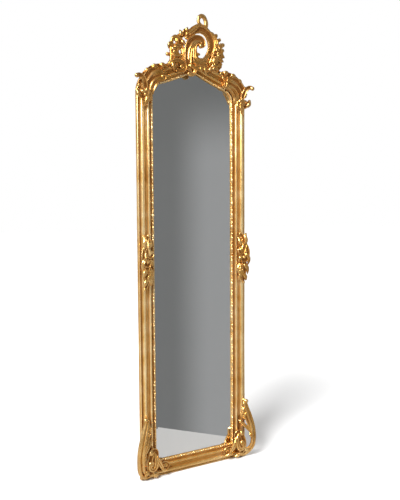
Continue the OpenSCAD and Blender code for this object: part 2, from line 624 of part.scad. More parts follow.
// Upper corner shells, in heights above the stile top
shell_x = shoulder_x - sight_x;
module corner_shell(side) color("gold") seated(side) translate([0, stile_top, 0]) {
    stroke([[-34, 62, 40, 6], [-38, 52, 40, 7], [-30, 46, 39, 8], [-21, 56, 36, 9], [-26, 74, 34, 9],
        [-44, 84, 32, 7]], 1);
    for (k = [0:3]) stroke([for (i = [0:4]) let (a = 80 - 20 * i + 5 * (k % 2), r = 53 + 14 * k)
        [shell_x + r * cos(a), r * sin(a), 36 - 3 * abs(k - 1.5) + 4 * sin(2 * a), 8.2]], 0.8);
    stroke([for (a = [94, 72, 50, 28, 8]) [shell_x + 101 * cos(a), 101 * sin(a), 30, 8]], 0.9);
    for (k = [0:4]) let (a = 88 - 17 * k) lobe([shell_x + 99 * cos(a), 99 * sin(a), 31, 9],
        [shell_x + 106 * cos(a - 5), 106 * sin(a - 5), 29, 7]);
    stroke([[34, 2, 40, 8], [41, 24, 44, 9], [49, 44, 50, 8], [63, 53, 56, 7], [77, 51, 60, 7]], 1);
    stroke([[24, -16, 36, 10], [42, -16, 40, 11], [60, -8, 42, 9], [74, 6, 44, 6]], 0.9);
    stroke([[18, 8, 36, 9], [30, -8, 40, 9], [40, -28, 38, 8], [44, -44, 36, 6]], 0.9);
    lobe([8, 0, 34, 8], [12, -20, 33, 6]);
    lobe([52, -18, 38, 9], [60, -32, 34, 5]);
    flower(33, 4, 44, 16, lean = 0.3);
}

module corner_shell_left() corner_shell(-1);
module corner_shell_right() corner_shell(1);

// Middle sprays, in heights above their centre
module mid_spray(side) color("gold") seated(side) translate([0, mid_z, 0]) {
    stroke([[32, 100, 33, 6], [41, 88, 38, 8], [45, 66, 44, 10], [42, 42, 47, 10], [32, 24, 47, 9],
        [24, 30, 45, 7], [28, 40, 44, 5]], 0.8);
    stroke([[48, 62, 42, 8], [57, 38, 48, 9], [56, 10, 51, 9], [46, -8, 50, 8], [34, -6, 46, 7]], 0.8);
    stroke([[34, 16, 45, 8], [42, -14, 47, 9], [45, -44, 45, 10], [42, -74, 42, 9], [48, -98, 36, 6]], 0.8);
    stroke([[30, -24, 38, 7], [22, -44, 38, 7], [28, -58, 40, 7], [42, -54, 42, 7]], 0.9);
    stroke([[40, 84, 31, 7], [46, 50, 34, 12], [44, 4, 36, 13], [43, -40, 35, 12], [45, -84, 31, 7]], 1);
    lobe([44, 84, 40, 8], [60, 84, 42, 5]);
    lobe([54, -4, 49, 8], [64, -14, 51, 5]);
    lobe([50, -42, 45, 8], [62, -56, 47, 5]);
    lobe([44, -78, 40, 8], [56, -92, 38, 5]);
    lobe([36, 58, 40, 8], [24, 76, 34, 5]);
    lobe([36, -64, 39, 8], [24, -84, 34, 5]);
    lobe([36, 6, 46, 8], [24, -8, 42, 6]);
    lobe([58, 22, 49, 7], [64, 10, 49, 5]);
}

module mid_spray_left() mid_spray(-1);
module mid_spray_right() mid_spray(1);

// Lower corner scroll feet, in heights above the floor, with x measured from the sight edge
foot_back = 14;
module foot_scroll(side) color("gold") front() mirror([side < 0 ? 1 : 0, 0, 0]) difference() {
    translate([sight_x, 0, 0]) {
        stroke([[49, 250, 43, 8], [52, 232, 43, 8], [58, 208, 45, 9], [67, 180, 50, 10], [77, 148, 56, 10],
            [84, 112, 60, 11], [85, 78, 62, 11], [80, 50, 57, 12], [67, 28, 45, 12], [48, 11, 30, 12],
            [26, 16, 32, 9]], 1);
        stroke([[34, 164, 34, 8], [44, 148, 38, 8], [60, 134, 46, 8], [76, 120, 53, 8]], 1);
        stroke([[40, 196, 35, 8], [52, 178, 40, 8], [68, 158, 47, 8]], 1);
        stroke([[18, 116, 36, 7], [32, 106, 38, 9], [44, 84, 40, 10], [50, 60, 42, 10], [44, 38, 42, 10],
            [32, 22, 38, 9]], 1);
        stroke([[32, 98, 38, 8], [22, 82, 42, 10], [20, 62, 44, 10], [28, 46, 45, 9], [39, 54, 46, 7],
            [32, 64, 47, 6]], 1);
        stroke([[18, 76, 38, 9], [2, 62, 37, 10], [-16, 48, 36, 9], [-36, 40, 34, 6]], 0.8);
        stroke([[24, 88, 36, 8], [14, 102, 33, 8], [6, 120, 31, 7], [-4, 138, 29, 6]], 0.9);
        stroke([[16, 60, 38, 8], [4, 40, 37, 9], [-12, 28, 34, 7]], 0.8);
        lobe([51, 244, 42, 9], [65, 250, 45, 6]);
        lobe([10, 112, 32, 7], [-4, 104, 29, 5]);
        lobe([0, 64, 36, 8], [-16, 64, 33, 5]);
        lobe([50, 40, 42, 9], [60, 28, 42, 7]);
        lobe([34, 108, 38, 9], [31, 126, 34, 6]);
        lobe([82, 88, 59, 8], [74, 98, 57, 5]);
    }
    frame_space();
    translate([-frame_w, -over, -frame_w]) cube([2 * frame_w, 2 * stile_top, frame_w + foot_back]);
    translate([-frame_w, -frame_w, -frame_w]) cube([2 * frame_w, frame_w, 2 * frame_w]);
    translate([0, 0, -frame_w]) cube([sight_x, stile_top, frame_w + seat_d + bead_h]);
}

module foot_scroll_left() foot_scroll(-1);
module foot_scroll_right() foot_scroll(1);

left_stile();
right_stile();
bottom_rail();
shoulder_left();
arch_rail_left();
shoulder_right();
arch_rail_right();
left_bead();
right_bead();
bottom_bead();
shoulder_bead_left();
arch_bead_left();
shoulder_bead_right();
arch_bead_right();
crest_scroll();
crest_spray();
crest_flowers();
corner_shell_left();
corner_shell_right();
mid_spray_left();
mid_spray_right();
foot_scroll_left();
foot_scroll_right();
mirror_glass();
glass_slip();
backing_board();
turn_button_1();
turn_button_2();
turn_button_3();
turn_button_4();
turn_button_5();
turn_button_6();
turn_button_7();
turn_button_8();
button_screws();
corner_plates();
shoulder_plates();
centre_plate();
plate_screws();
cross_batten();
batten_screws();
hinge_leaf_fixed();
hinge_leaf_moving();
hinge_pin();
hinge_screws_fixed();
hinge_screws_moving();
strut_leg();
strut_foot();
ring_plate_left();
ring_plate_right();
ring_left();
ring_right();
ring_screws();
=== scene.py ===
import json
import math

import bpy
import numpy as np
from mathutils import Matrix, Vector


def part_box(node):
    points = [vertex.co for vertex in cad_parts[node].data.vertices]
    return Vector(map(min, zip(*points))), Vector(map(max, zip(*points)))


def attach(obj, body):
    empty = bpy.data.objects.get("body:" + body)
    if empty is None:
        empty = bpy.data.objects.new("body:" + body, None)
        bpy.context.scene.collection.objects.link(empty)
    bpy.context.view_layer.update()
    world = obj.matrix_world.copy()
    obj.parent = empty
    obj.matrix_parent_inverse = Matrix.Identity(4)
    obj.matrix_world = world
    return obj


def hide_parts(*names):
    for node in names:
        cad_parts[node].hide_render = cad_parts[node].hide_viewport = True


# Gilded floor mirror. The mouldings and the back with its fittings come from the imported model.
# The carvings, the bead strips and the glass are modelled here in their places.
# Carvings and beads are made in millimetres, flat on the bench, and then stood up on the frame:
# on the bench x runs across, y up the frame and z forward from the frame's back.

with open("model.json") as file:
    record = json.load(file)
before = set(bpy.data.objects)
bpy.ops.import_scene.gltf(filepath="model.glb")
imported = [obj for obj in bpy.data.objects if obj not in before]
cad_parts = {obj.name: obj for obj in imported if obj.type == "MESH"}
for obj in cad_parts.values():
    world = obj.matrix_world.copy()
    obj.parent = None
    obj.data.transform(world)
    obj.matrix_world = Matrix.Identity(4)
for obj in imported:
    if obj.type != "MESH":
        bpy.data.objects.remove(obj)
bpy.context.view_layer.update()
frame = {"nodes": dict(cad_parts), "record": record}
nodes = frame["nodes"]
mm = 0.001

stileLow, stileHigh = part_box("right_stile")
sightX = stileLow.x / mm  # inner edge of the moulding, from the middle
sightZ = stileHigh.x / mm - sightX  # upper edge of the bottom rail, which is as wide as a stile
stileTop = stileHigh.z / mm
backY = stileHigh.y


def pick(*objects):
    if bpy.context.object and bpy.context.object.mode != "OBJECT":
        bpy.ops.object.mode_set(mode="OBJECT")
    bpy.ops.object.select_all(action="DESELECT")
    for item in objects:
        item.select_set(True)
    bpy.context.view_layer.objects.active = objects[-1]


def openMesh(piece):
    # Edit mode, with the whole mesh selected
    pick(piece)
    bpy.ops.object.mode_set(mode="EDIT")
    bpy.ops.mesh.select_all(action="SELECT")


def joinAll(objects, name):
    pick(*objects)
    bpy.ops.object.join()
    joined = bpy.context.object
    joined.name = name
    joined.data.name = name
    return joined


def addModifier(piece, kind, **values):
    pick(piece)
    modifier = piece.modifiers.new(kind.lower(), kind)
    for key, value in values.items():
        setattr(modifier, key, value)
    bpy.ops.object.modifier_apply(modifier=modifier.name)


# Shader maths as plain expressions


class Wire:
    def __init__(self, paint, socket):
        self.paint = paint
        self.socket = socket

    def maths(self, operation, *others):
        return self.paint.node("ShaderNodeMath", {"operation": operation}, dict(enumerate((self, *others))))

    def __add__(self, other):
        return self.maths("ADD", other)

    def __sub__(self, other):
        return self.maths("SUBTRACT", other)

    def __mul__(self, other):
        return self.maths("MULTIPLY", other)

    def __truediv__(self, other):
        return self.maths("DIVIDE", other)

    def __pow__(self, other):
        return self.maths("POWER", other)

    def __rsub__(self, other):
        return self.paint.node("ShaderNodeMath", {"operation": "SUBTRACT"}, {0: other, 1: self})

    __radd__ = __add__
    __rmul__ = __mul__

    def clamp(self, low=0.0, high=1.0):
        return self.maths("MAXIMUM", low).maths("MINIMUM", high)

    def step(self, low, high):  # smooth step from 0 at low to 1 at high
        return self.paint.node("ShaderNodeMapRange", {"interpolation_type": "SMOOTHSTEP"},
            {"Value": self, "From Min": low, "From Max": high})

    def band(self, low, high, soft):  # 1 between low and high
        return self.step(low - soft, low) * (1 - self.step(high, high + soft))


class Paint:
    def __init__(self, name):
        self.material = bpy.data.materials.new(name)
        self.material.use_nodes = True
        self.tree = self.material.node_tree
        self.shader = self.tree.nodes["Principled BSDF"]

    def node(self, kind, settings=None, values=None, output=0):
        made = self.tree.nodes.new(kind)
        for key, value in (settings or {}).items():
            if key == "stops":
                self.setStops(made.color_ramp, value)
            else:
                setattr(made, key, value)
        for key, value in (values or {}).items():
            self.feed(made.inputs[key], value)
        return Wire(self, made.outputs[output])

    def feed(self, socket, value):
        if isinstance(value, Wire):
            self.tree.links.new(value.socket, socket)
        else:
            socket.default_value = value

    def setStops(self, ramp, stops):
        while len(ramp.elements) > 1:
            ramp.elements.remove(ramp.elements[-1])
        for number, (place, colour) in enumerate(stops):
            stop = ramp.elements[0] if number == 0 else ramp.elements.new(place)
            stop.position = place
            stop.color = (*colour, 1)

    def put(self, socket, value):
        self.feed(self.shader.inputs[socket], value)

    def place(self):
        return self.node("ShaderNodeTexCoord", output="Object")

    def axes(self):
        split = self.tree.nodes.new("ShaderNodeSeparateXYZ")
        self.tree.links.new(self.place().socket, split.inputs[0])
        return [Wire(self, split.outputs[number]) for number in range(3)]

    def stretched(self, scale, turn=(0, 0, 0)):
        return self.node("ShaderNodeMapping", None,
            {"Vector": self.place(), "Scale": scale, "Rotation": turn})

    def noise(self, scale, detail=4.0, rough=0.55, where=None):
        return self.node("ShaderNodeTexNoise", None,
            {"Vector": where or self.place(), "Scale": scale, "Detail": detail, "Roughness": rough})

    def attribute(self, name):
        return self.node("ShaderNodeAttribute", {"attribute_name": name}, output="Fac")

    def mix(self, factor, first, second):
        made = self.tree.nodes.new("ShaderNodeMix")
        made.data_type = "RGBA"
        colours = [value if isinstance(value, Wire) else (*value, 1) for value in (first, second)]
        for place, value in zip((0, 6, 7), (factor, *colours)):  # a Mix node's sockets for colours
            self.feed(made.inputs[place], value)
        return Wire(self, made.outputs[2])

    def ramp(self, value, stops):
        return self.node("ShaderNodeValToRGB", {"stops": stops}, {"Fac": value})

    def bump(self, height, strength, distance, under=None):
        values = {"Height": height, "Strength": strength, "Distance": distance}
        if under:
            values["Normal"] = under
        return self.node("ShaderNodeBump", None, values)


# Finishes

mouldingGild = {
    "leaf": (0.8, 0.49, 0.15),
    "pale": (0.98, 0.78, 0.44),
    "deep": (0.6, 0.3, 0.06),
    "bole": (0.34, 0.13, 0.022),
    "glazeAndShade": (0.17, 0.06, 0.012),
    "roughness": 0.28,
    "fleck": 0.14,  # share of the fine flecks in the leaf's tone
    "strength": 0.95,  # of the bole, glaze and painted shade in the hollows
    "metal": 0.82,
    "ripple": 0.2,
    "crown": 0,  # painted shade: how much darker the tone is towards the top, on the crest and the shells
}
shadedEndsGild = {**mouldingGild, "leaf": (0.68, 0.385, 0.1), "pale": (0.86, 0.6, 0.27),
    "deep": (0.52, 0.25, 0.05)}  # painted shade: a darker copy of the gilding, on the arch, the shoulders and the bottom rail
carvedGild = {
    "leaf": (0.68, 0.35, 0.08),
    "pale": (0.97, 0.68, 0.3),
    "deep": (0.44, 0.18, 0.028),
    "bole": (0.31, 0.115, 0.016),
    "glazeAndShade": (0.11, 0.04, 0.008),
    "roughness": 0.29,
    "fleck": 0.16,
    "strength": 1.5,
    "metal": 0.92,
    "ripple": 0.1,
    "crown": 0.4,
}
gildGrain = {
    "cloud": 14,  # scales of the noise, per metre
    "fleck": 230,
    "ripple": {"scale": 60, "deep": 0.0012},
    "tones": (0.32, 0.49, 0.72),  # where the leaf is deep, plain and pale
    "crown": (1.25, 1.4),  # metres up, where the painted shade towards the top starts and is full
    "worn": 0.62,  # fleck over which the bole shows on the highs
}
bareBack = {
    "edge": (0.0012, 0.0003),  # metres in front of the frame's back, where the gilding ends
    "grain": 26,
    "stretch": (6, 6, 0.5),
    "wood": [(0.3, (0.3, 0.17, 0.075)), (0.5, (0.43, 0.27, 0.13)), (0.7, (0.5, 0.34, 0.18))],
    "roughness": 0.7,
}


def gild(name, masks, look):
    paint = Paint(name)
    hollowStainAndShade, highsAndHighlight = masks(paint)
    cloud = paint.noise(gildGrain["cloud"], 3)
    fleck = paint.noise(gildGrain["fleck"], 5, 0.65)
    tones = zip(gildGrain["tones"], (look["deep"], look["leaf"], look["pale"]))
    leaf = paint.ramp(cloud * (1 - look["fleck"]) + fleck * look["fleck"], list(tones))
    # painted highlight: the leaf paler on the highs
    leaf = paint.mix(highsAndHighlight * 0.5, leaf, look["pale"])
    # painted shade: the leaf darker towards the top
    if look["crown"]:
        leaf = paint.mix(paint.axes()[2].step(*gildGrain["crown"]) * look["crown"], leaf, look["deep"])
    stainAndShade = (hollowStainAndShade * (0.7 + fleck * 0.5) * look["strength"]).clamp()  # bole and glaze settled in the hollows, and painted shade there
    stainedAndShaded = paint.mix(stainAndShade, leaf, look["bole"])
    # darkest in the deepest hollows: dark glaze and painted shade
    stainedAndShaded = paint.mix((stainAndShade * 1.7 - 0.9).clamp() * 0.75, stainedAndShaded, look["glazeAndShade"])
    rubbed = ((fleck - gildGrain["worn"]).clamp() * 9 * highsAndHighlight).clamp()  # bole through worn leaf
    stainedAndShaded = paint.mix(rubbed * 0.45, stainedAndShaded, look["bole"])
    back = paint.axes()[1].step(*(backY - depth for depth in bareBack["edge"]))  # bare wood
    grain = paint.noise(bareBack["grain"], 6, 0.6, paint.stretched(bareBack["stretch"]))
    paint.put("Base Color", paint.mix(back, stainedAndShaded, paint.ramp(grain, bareBack["wood"])))
    paint.put("Specular IOR Level", 0.2)
    paint.put("Metallic", (look["metal"] - stainAndShade * 0.35 - rubbed * 0.3).clamp() * (1 - back))
    shine = look["roughness"] + (cloud - 0.5) * 0.14 + stainAndShade * 0.25 - highsAndHighlight * 0.05
    paint.put("Roughness", (shine * (1 - back) + back * bareBack["roughness"]).clamp(0.14, 0.9))
    wave = paint.noise(gildGrain["ripple"]["scale"], 3)
    ripple = paint.bump(wave, look["ripple"], gildGrain["ripple"]["deep"])
    paint.put("Normal", paint.bump(fleck, look["ripple"] * 0.4, 0.0005, ripple))
    return paint.material


# The moulding's bands in millimetres outwards from the sight edge:
# hollows, where glaze has settled and shade is painted, and crests, where highlight is painted
bands = {
    "hollows": [  # from, to, softness, weight
        (9.6, 17.2, 0.9, 0.75), (27.2, 29.4, 0.9, 0.5), (31.5, 36.5, 3.0, 0.3),
        (37.4, 39.6, 0.9, 0.6), (55.4, 59.6, 0.8, 0.8), (66.2, 68.5, 0.9, 0.5)],
    "crests": [(20.0, 25.0, 1.6), (44.0, 51.0, 2.0), (61.0, 65.0, 1.2)],
    "waver": 0.9,  # how far the edges of the glaze and painted shade wander
    "smoother": {"arch": 0.62, "rail": 0.62},  # weight of all bands on these runs
    "footShade": {"across": (30, 60, 6), "up": (112, 172, 12), "weight": 0.8},  # painted shadow on the stile behind the scroll foot
}
opening = {"radius": 40, "turn": 73, "archRadius": 860}  # shoulder arcs and arch along the sight edge


def archCentre():
    reach = opening["radius"] + opening["archRadius"]
    angle = math.radians(opening["turn"])
    return sightX - opening["radius"] + reach * math.cos(angle), stileTop + reach * math.sin(angle)


def outwards(paint, run):
    # Distance from the sight edge in millimetres, on each kind of run
    x, y, z = [axis / mm for axis in paint.axes()]
    x = x.maths("ABSOLUTE")
    if run == "stile":
        return x - sightX
    if run == "rail":
        return sightZ - z
    middle = (sightX - opening["radius"], stileTop) if run == "shoulder" else archCentre()
    reach = ((x - middle[0]) ** 2 + (z - middle[1]) ** 2) ** 0.5
    return reach - opening["radius"] if run == "shoulder" else opening["archRadius"] - reach


def mouldingMasks(run):
    def masks(paint):
        place = outwards(paint, run) + (paint.noise(9, 2) - 0.5) * bands["waver"]
        depth = bands["smoother"].get(run, 1)
        hollow = 0
        # hollows: settled glaze and painted shade
        for low, high, soft, weight in bands["hollows"]:
            hollow = place.band(low, high, soft) * weight * depth + hollow
        crest = 0
        # crests: painted highlight along the ridges
        for low, high, soft in bands["crests"]:
            crest = place.band(low, high, soft) + crest
        if run == "stile":
            shade = bands["footShade"]
            up = (paint.axes()[2] / mm).band(*shade["up"])
            hollow = place.band(*shade["across"]) * up * shade["weight"] + hollow
        return hollow.clamp(), crest.clamp() * depth
    return masks


# Limits of relief, in the units of reliefScales, between which each mask rises or falls
reliefLimits = {
    "hollow": (0.08, 0.65),
    "broadHollow": (0.05, 1.8),
    "high": (-0.75, -0.1),
    "broadHigh": (0.2, 2.5),
    "beadHollow": (0.1, 0.95),
}


def carvedMasks(paint):
    relief = paint.attribute("relief")
    broad = paint.attribute("broadRelief")
    # hollows: bole and glaze with painted shade; the broad hollows are painted shade
    hollow = relief.step(*reliefLimits["hollow"]) * 0.85 + broad.step(*reliefLimits["broadHollow"]) * 0.9
    # highs: worn and burnished leaf, and painted highlight
    high = (1 - relief.step(*reliefLimits["high"])) * (1 - broad.step(*reliefLimits["broadHigh"]) * 0.7)
    return hollow.clamp(), high


def beadMasks(paint):
    relief = paint.attribute("relief")
    # hollows with glaze and painted shade, highs with painted highlight
    return relief.step(*reliefLimits["beadHollow"]), 1 - relief.step(*reliefLimits["high"])


woodGrain = {"wave": 3.2, "grain": 30, "fine": 160}
birch = [(0.42, 0.28, 0.15), (0.55, 0.4, 0.24), (0.64, 0.49, 0.32)]
stainedPine = [(0.14, 0.062, 0.025), (0.22, 0.105, 0.045), (0.3, 0.155, 0.07)]


def woodFinish(name, colours, stretch, gloss):
    paint = Paint(name)
    wave = paint.noise(woodGrain["wave"], 2, 0.5, paint.stretched(stretch))
    grain = paint.noise(woodGrain["grain"], 6, 0.62, paint.stretched(stretch))
    fine = paint.noise(woodGrain["fine"], 3, 0.7, paint.stretched(stretch))
    tone = wave * 0.45 + grain * 0.4 + fine * 0.15
    paint.put("Base Color", paint.ramp(tone, [(0.34, colours[0]), (0.5, colours[1]), (0.66, colours[2])]))
    paint.put("Roughness", (gloss + (grain - 0.5) * 0.25).clamp(0.2, 0.95))
    paint.put("Normal", paint.bump(fine + grain, 0.25, 0.0004))
    return paint.material


metalGrain = {"cloud": 45, "fine": 420}


def metalFinish(name, light, dark, roughness, brushed=(1, 1, 1)):
    paint = Paint(name)
    cloud = paint.noise(metalGrain["cloud"], 3)
    fine = paint.noise(metalGrain["fine"], 3, 0.6, paint.stretched(brushed))
    paint.put("Base Color", paint.mix(cloud.step(0.35, 0.68), light, dark))
    paint.put("Metallic", 1.0)
    paint.put("Roughness", (roughness + (cloud - 0.5) * 0.2 + (fine - 0.5) * 0.15).clamp(0.1, 0.8))
    paint.put("Normal", paint.bump(fine, 0.12, 0.0003))
    return paint.material


def glassFinish():
    paint = Paint("silvered glass")
    cloud = paint.noise(5, 4)
    paint.put("Base Color", paint.mix(cloud, (0.79, 0.81, 0.81), (0.83, 0.84, 0.835)))
    paint.put("Metallic", 1.0)
    paint.put("Roughness", (0.012 + cloud * 0.02).clamp(0.005, 0.1))
    return paint.material


def softFinish(name, light, dark, scale, roughness):
    paint = Paint(name)
    speck = paint.noise(scale, 4, 0.7)
    paint.put("Base Color", paint.mix(speck.step(0.35, 0.65), dark, light))
    paint.put("Roughness", (roughness + (speck - 0.5) * 0.2).clamp(0.2, 1.0))
    paint.put("Normal", paint.bump(speck, 0.3, 0.0004))
    return paint.material


finishes = {
    "gilded_carving": gild("carved gilding", carvedMasks, carvedGild),
    "gilded_bead": gild("beaded gilding", beadMasks, mouldingGild),
    "mirror_glass": glassFinish(),
    "slip_card": softFinish("grey slip card", (0.33, 0.32, 0.3), (0.25, 0.24, 0.22), 160, 0.9),
    "backing_plywood": woodFinish("birch plywood", birch, (5, 5, 0.35), 0.62),
    "stained_wood": woodFinish("stained pine", stainedPine, (7, 7, 0.5), 0.45),
    "foot_rubber": softFinish("ribbed rubber", (0.05, 0.05, 0.052), (0.028, 0.028, 0.03), 700, 0.75),
    "plated_steel": metalFinish("zinc plated steel", (0.72, 0.7, 0.66), (0.5, 0.49, 0.47), 0.36, (1, 1, 6)),
    "wire_steel": metalFinish("nickel wire", (0.7, 0.69, 0.66), (0.55, 0.54, 0.5), 0.24),
    "screw_steel": metalFinish("screw steel", (0.6, 0.56, 0.48), (0.42, 0.39, 0.34), 0.34),
}
battenFinish = woodFinish("stained pine across", stainedPine, (0.5, 7, 7), 0.45)
runs = {"stile": "upright moulding gilding", "shoulder": "shoulder moulding gilding",
    "arch": "arch moulding gilding", "rail": "level moulding gilding"}
mouldingFinish = {run: gild(name, mouldingMasks(run), mouldingGild if run == "stile" else shadedEndsGild)
    for run, name in runs.items()}
print("finishes made:", len(finishes) + len(mouldingFinish) + 1)


# Carver's bench: sections for the scrolls and leaves to lay along them

sectionOutline = {"steps": 26, "foot": [(0.82, -0.55), (-0.82, -0.55)]}  # in half widths


def addSection(name, height):
    outline = []
    for step in range(sectionOutline["steps"] + 1):
        across = -math.cos(math.pi * step / sectionOutline["steps"])
        outline.append((across, height(across)))
    outline += sectionOutline["foot"]
    curve = bpy.data.curves.new("section " + name, "CURVE")
    spline = curve.splines.new("POLY")
    spline.points.add(len(outline) - 1)
    for point, (across, up) in zip(spline.points, outline):
        point.co = (across, up, 0, 1)
    spline.use_cyclic_u = True
    section = bpy.data.objects.new(curve.name, curve)
    bpy.context.scene.collection.objects.link(section)
    return section


def dome(across):
    return math.sqrt(max(0.0, 1 - across * across))


def groove(across, place, width, depth):
    return depth * math.exp(-((across - place) / width) ** 2)


def coveHeight(across):
    side = abs(across)
    return 0.1 + 0.66 * side ** 3 if side < 0.84 else 0.49 * dome((side - 0.84) / 0.16) + 0.02


sections = {
    "round": addSection("round", lambda s: 0.85 * dome(s)),
    "cove": addSection("cove", coveHeight),
    "split": addSection("split", lambda s: 0.82 * dome(s) - groove(s, 0.1, 0.17, 0.42)),
    "keel": addSection("keel", lambda s: 0.04 + 0.95 * (1 - abs(s)) ** 1.25),
}


def addPath(knots):
    bpy.ops.curve.primitive_bezier_curve_add()
    path = bpy.context.object
    points = path.data.splines[0].bezier_points
    points.add(len(knots) - 2)
    for point, (x, y, depth, radius) in zip(points, knots):
        point.co = (x, y, depth)
        point.radius = radius
        point.handle_left_type = point.handle_right_type = "AUTO"
    path.data.twist_mode = "Z_UP"
    path.data.resolution_u = 7
    return path


knobShape = {"segments": 18, "rings": 11, "squash": 0.85}
scrollEnd = {"sunk": 0.28, "size": 0.86}  # knob that rounds a scroll's end, in its half widths


def addKnob(x, y, depth, radius):
    bpy.ops.mesh.primitive_uv_sphere_add(segments=knobShape["segments"], ring_count=knobShape["rings"],
        radius=radius, location=(x, y, depth))
    bpy.context.object.scale = (1, 1, knobShape["squash"])
    bpy.ops.object.transform_apply(location=True, rotation=True, scale=True)
    return bpy.context.object


def sweep(kind, knots):
    path = addPath(knots)
    path.data.bevel_mode = "OBJECT"
    path.data.bevel_object = sections[kind]
    path.data.use_fill_caps = True
    bpy.ops.object.convert(target="MESH")
    made = [bpy.context.object]
    if kind != "keel":  # whose ends stay sharp
        for x, y, depth, radius in (knots[0], knots[-1]):
            made.append(addKnob(x, y, depth - scrollEnd["sunk"] * radius, radius * scrollEnd["size"]))
    return made


leafShapes = {  # cells along a leaf, bluntness of its tip, and height of its middle in half widths
    "husk": {"cells": 28, "blunt": 0.62, "crown": 0.6},
    "petal": {"cells": 16, "blunt": 0.36, "crown": 0.35},
}
leafCut = {
    "across": 18,  # cells from edge to edge
    "opens": 0.16,  # part of the length over which it widens
    "edge": 0.16,  # height of its rim, in half widths
    "vein": {"width": 0.14, "depth": 0.17},
    "under": -0.5,  # level of its flat underside
}


def leafPoint(shape, along, across):
    body = min(1.0, along / leafCut["opens"]) ** 0.6 * max(0.0, 1 - along ** 2.6) ** shape["blunt"]
    vein = groove(across, 0, leafCut["vein"]["width"], leafCut["vein"]["depth"])
    height = leafCut["edge"] + shape["crown"] * dome(across) - vein
    height *= 0.35 + 0.65 * min(1.0, body * 1.6)  # thinner towards both ends
    return along, across * body, height


def modelLeaf(name):
    shape = leafShapes[name]
    bpy.ops.mesh.primitive_grid_add(x_subdivisions=shape["cells"], y_subdivisions=leafCut["across"], size=2)
    leaf = bpy.context.object
    for vertex in leaf.data.vertices:
        vertex.co = leafPoint(shape, (vertex.co.x + 1) / 2, vertex.co.y)
    openMesh(leaf)
    bpy.ops.mesh.extrude_region_move(TRANSFORM_OT_translate={"value": (0, 0, -0.9)})
    bpy.ops.transform.resize(value=(1, 1, 0), center_override=(0, 0, leafCut["under"]))
    bpy.ops.object.mode_set(mode="OBJECT")
    leaf.name = "leaf " + name
    return leaf


leaves = {name: modelLeaf(name) for name in leafShapes}


def layLeaf(kind, knots):
    path = addPath(knots)
    path.data.use_stretch = path.data.use_deform_bounds = True
    leaf = bpy.data.objects.new("laid leaf", leaves[kind].data.copy())
    bpy.context.scene.collection.objects.link(leaf)
    addModifier(leaf, "CURVE", object=path)
    bpy.data.objects.remove(path)
    return [leaf]


flower = {
    "petals": 5,
    "turn": 20,  # degrees, of the first petal
    "petal": [(0.1, -0.28), (0.5, 0.12), (0.85, 0.1), (1.08, -0.22)],  # out and up, in the flower's radii
    "petalWidth": 0.42,
    "heart": 0.27,
    "heartLift": 0.02,
}


def addFlower(x, y, depth, radius):
    made = []
    for number in range(flower["petals"]):
        angle = math.radians(flower["turn"] + 360 * number / flower["petals"])
        knots = [(x + radius * out * math.cos(angle), y + radius * out * math.sin(angle),
            depth + radius * up, radius * flower["petalWidth"]) for out, up in flower["petal"]]
        made += layLeaf("petal", knots)
    made.append(addKnob(x, y, depth + radius * flower["heartLift"], radius * flower["heart"]))
    return made


def cut(kind, knots, side):
    turned = [(side * x, y, depth, radius) for x, y, depth, radius in knots]
    if kind in sections:
        return sweep(kind, turned)
    if kind == "knob":
        return [addKnob(*point) for point in turned]
    if kind == "flower":
        return [item for point in turned for item in addFlower(*point)]
    return layLeaf(kind, turned)


# Attribute, passes of smoothing and unit in millimetres
reliefScales = {
    "carving": (("relief", 14, 1.0), ("broadRelief", 120, 1.0)),
    "beads": (("relief", 12, 0.6),),
}


def markRelief(piece, scales):
    # How far each point lies under (positive) or over the smoothed surface
    mesh = piece.data
    count = len(mesh.vertices)
    places = np.zeros(count * 3)
    mesh.vertices.foreach_get("co", places)
    places = places.reshape(-1, 3)
    facing = np.zeros(count * 3)
    mesh.vertices.foreach_get("normal", facing)
    pairs = np.zeros(len(mesh.edges) * 2, np.int64)
    mesh.edges.foreach_get("vertices", pairs)
    first, second = pairs.reshape(-1, 2).T
    links = np.maximum(np.bincount(pairs, minlength=count), 1)[:, None]
    smooth = places.copy()
    done = 0
    for name, passes, unit in scales:
        for _ in range(passes - done):
            total = np.stack([np.bincount(first, smooth[second, axis], count)
                + np.bincount(second, smooth[first, axis], count) for axis in range(3)], 1)
            smooth = 0.5 * smooth + 0.5 * total / links
        done = passes
        relief = ((smooth - places) * facing.reshape(-1, 3)).sum(1) / unit
        mesh.attributes.new(name, "FLOAT", "POINT").data.foreach_set("value", relief.astype(np.float32))


def standUp(piece):
    # From the bench to the frame: bench depth runs forward from the frame's back
    pick(piece)
    piece.matrix_world = (Matrix.Translation((0, backY, 0)) @ Matrix.Rotation(math.pi / 2, 4, "X")
        @ Matrix.Scale(mm, 4))
    bpy.ops.object.transform_apply(location=True, rotation=True, scale=True)


def trim(piece, place, facing):
    # Cuts away what lies on the side that facing points to, and closes the cut
    openMesh(piece)
    bpy.ops.mesh.bisect(plane_co=place, plane_no=facing, use_fill=True, clear_outer=True)
    bpy.ops.object.mode_set(mode="OBJECT")


def finishPiece(piece, slot, body, node):
    openMesh(piece)
    bpy.ops.mesh.normals_make_consistent(inside=False)
    bpy.ops.object.mode_set(mode="OBJECT")
    piece.data.materials.clear()
    piece.data.materials.append(finishes[slot])
    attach(piece, body)
    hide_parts(node)
    print(piece.name, "faces:", len(piece.data.polygons))


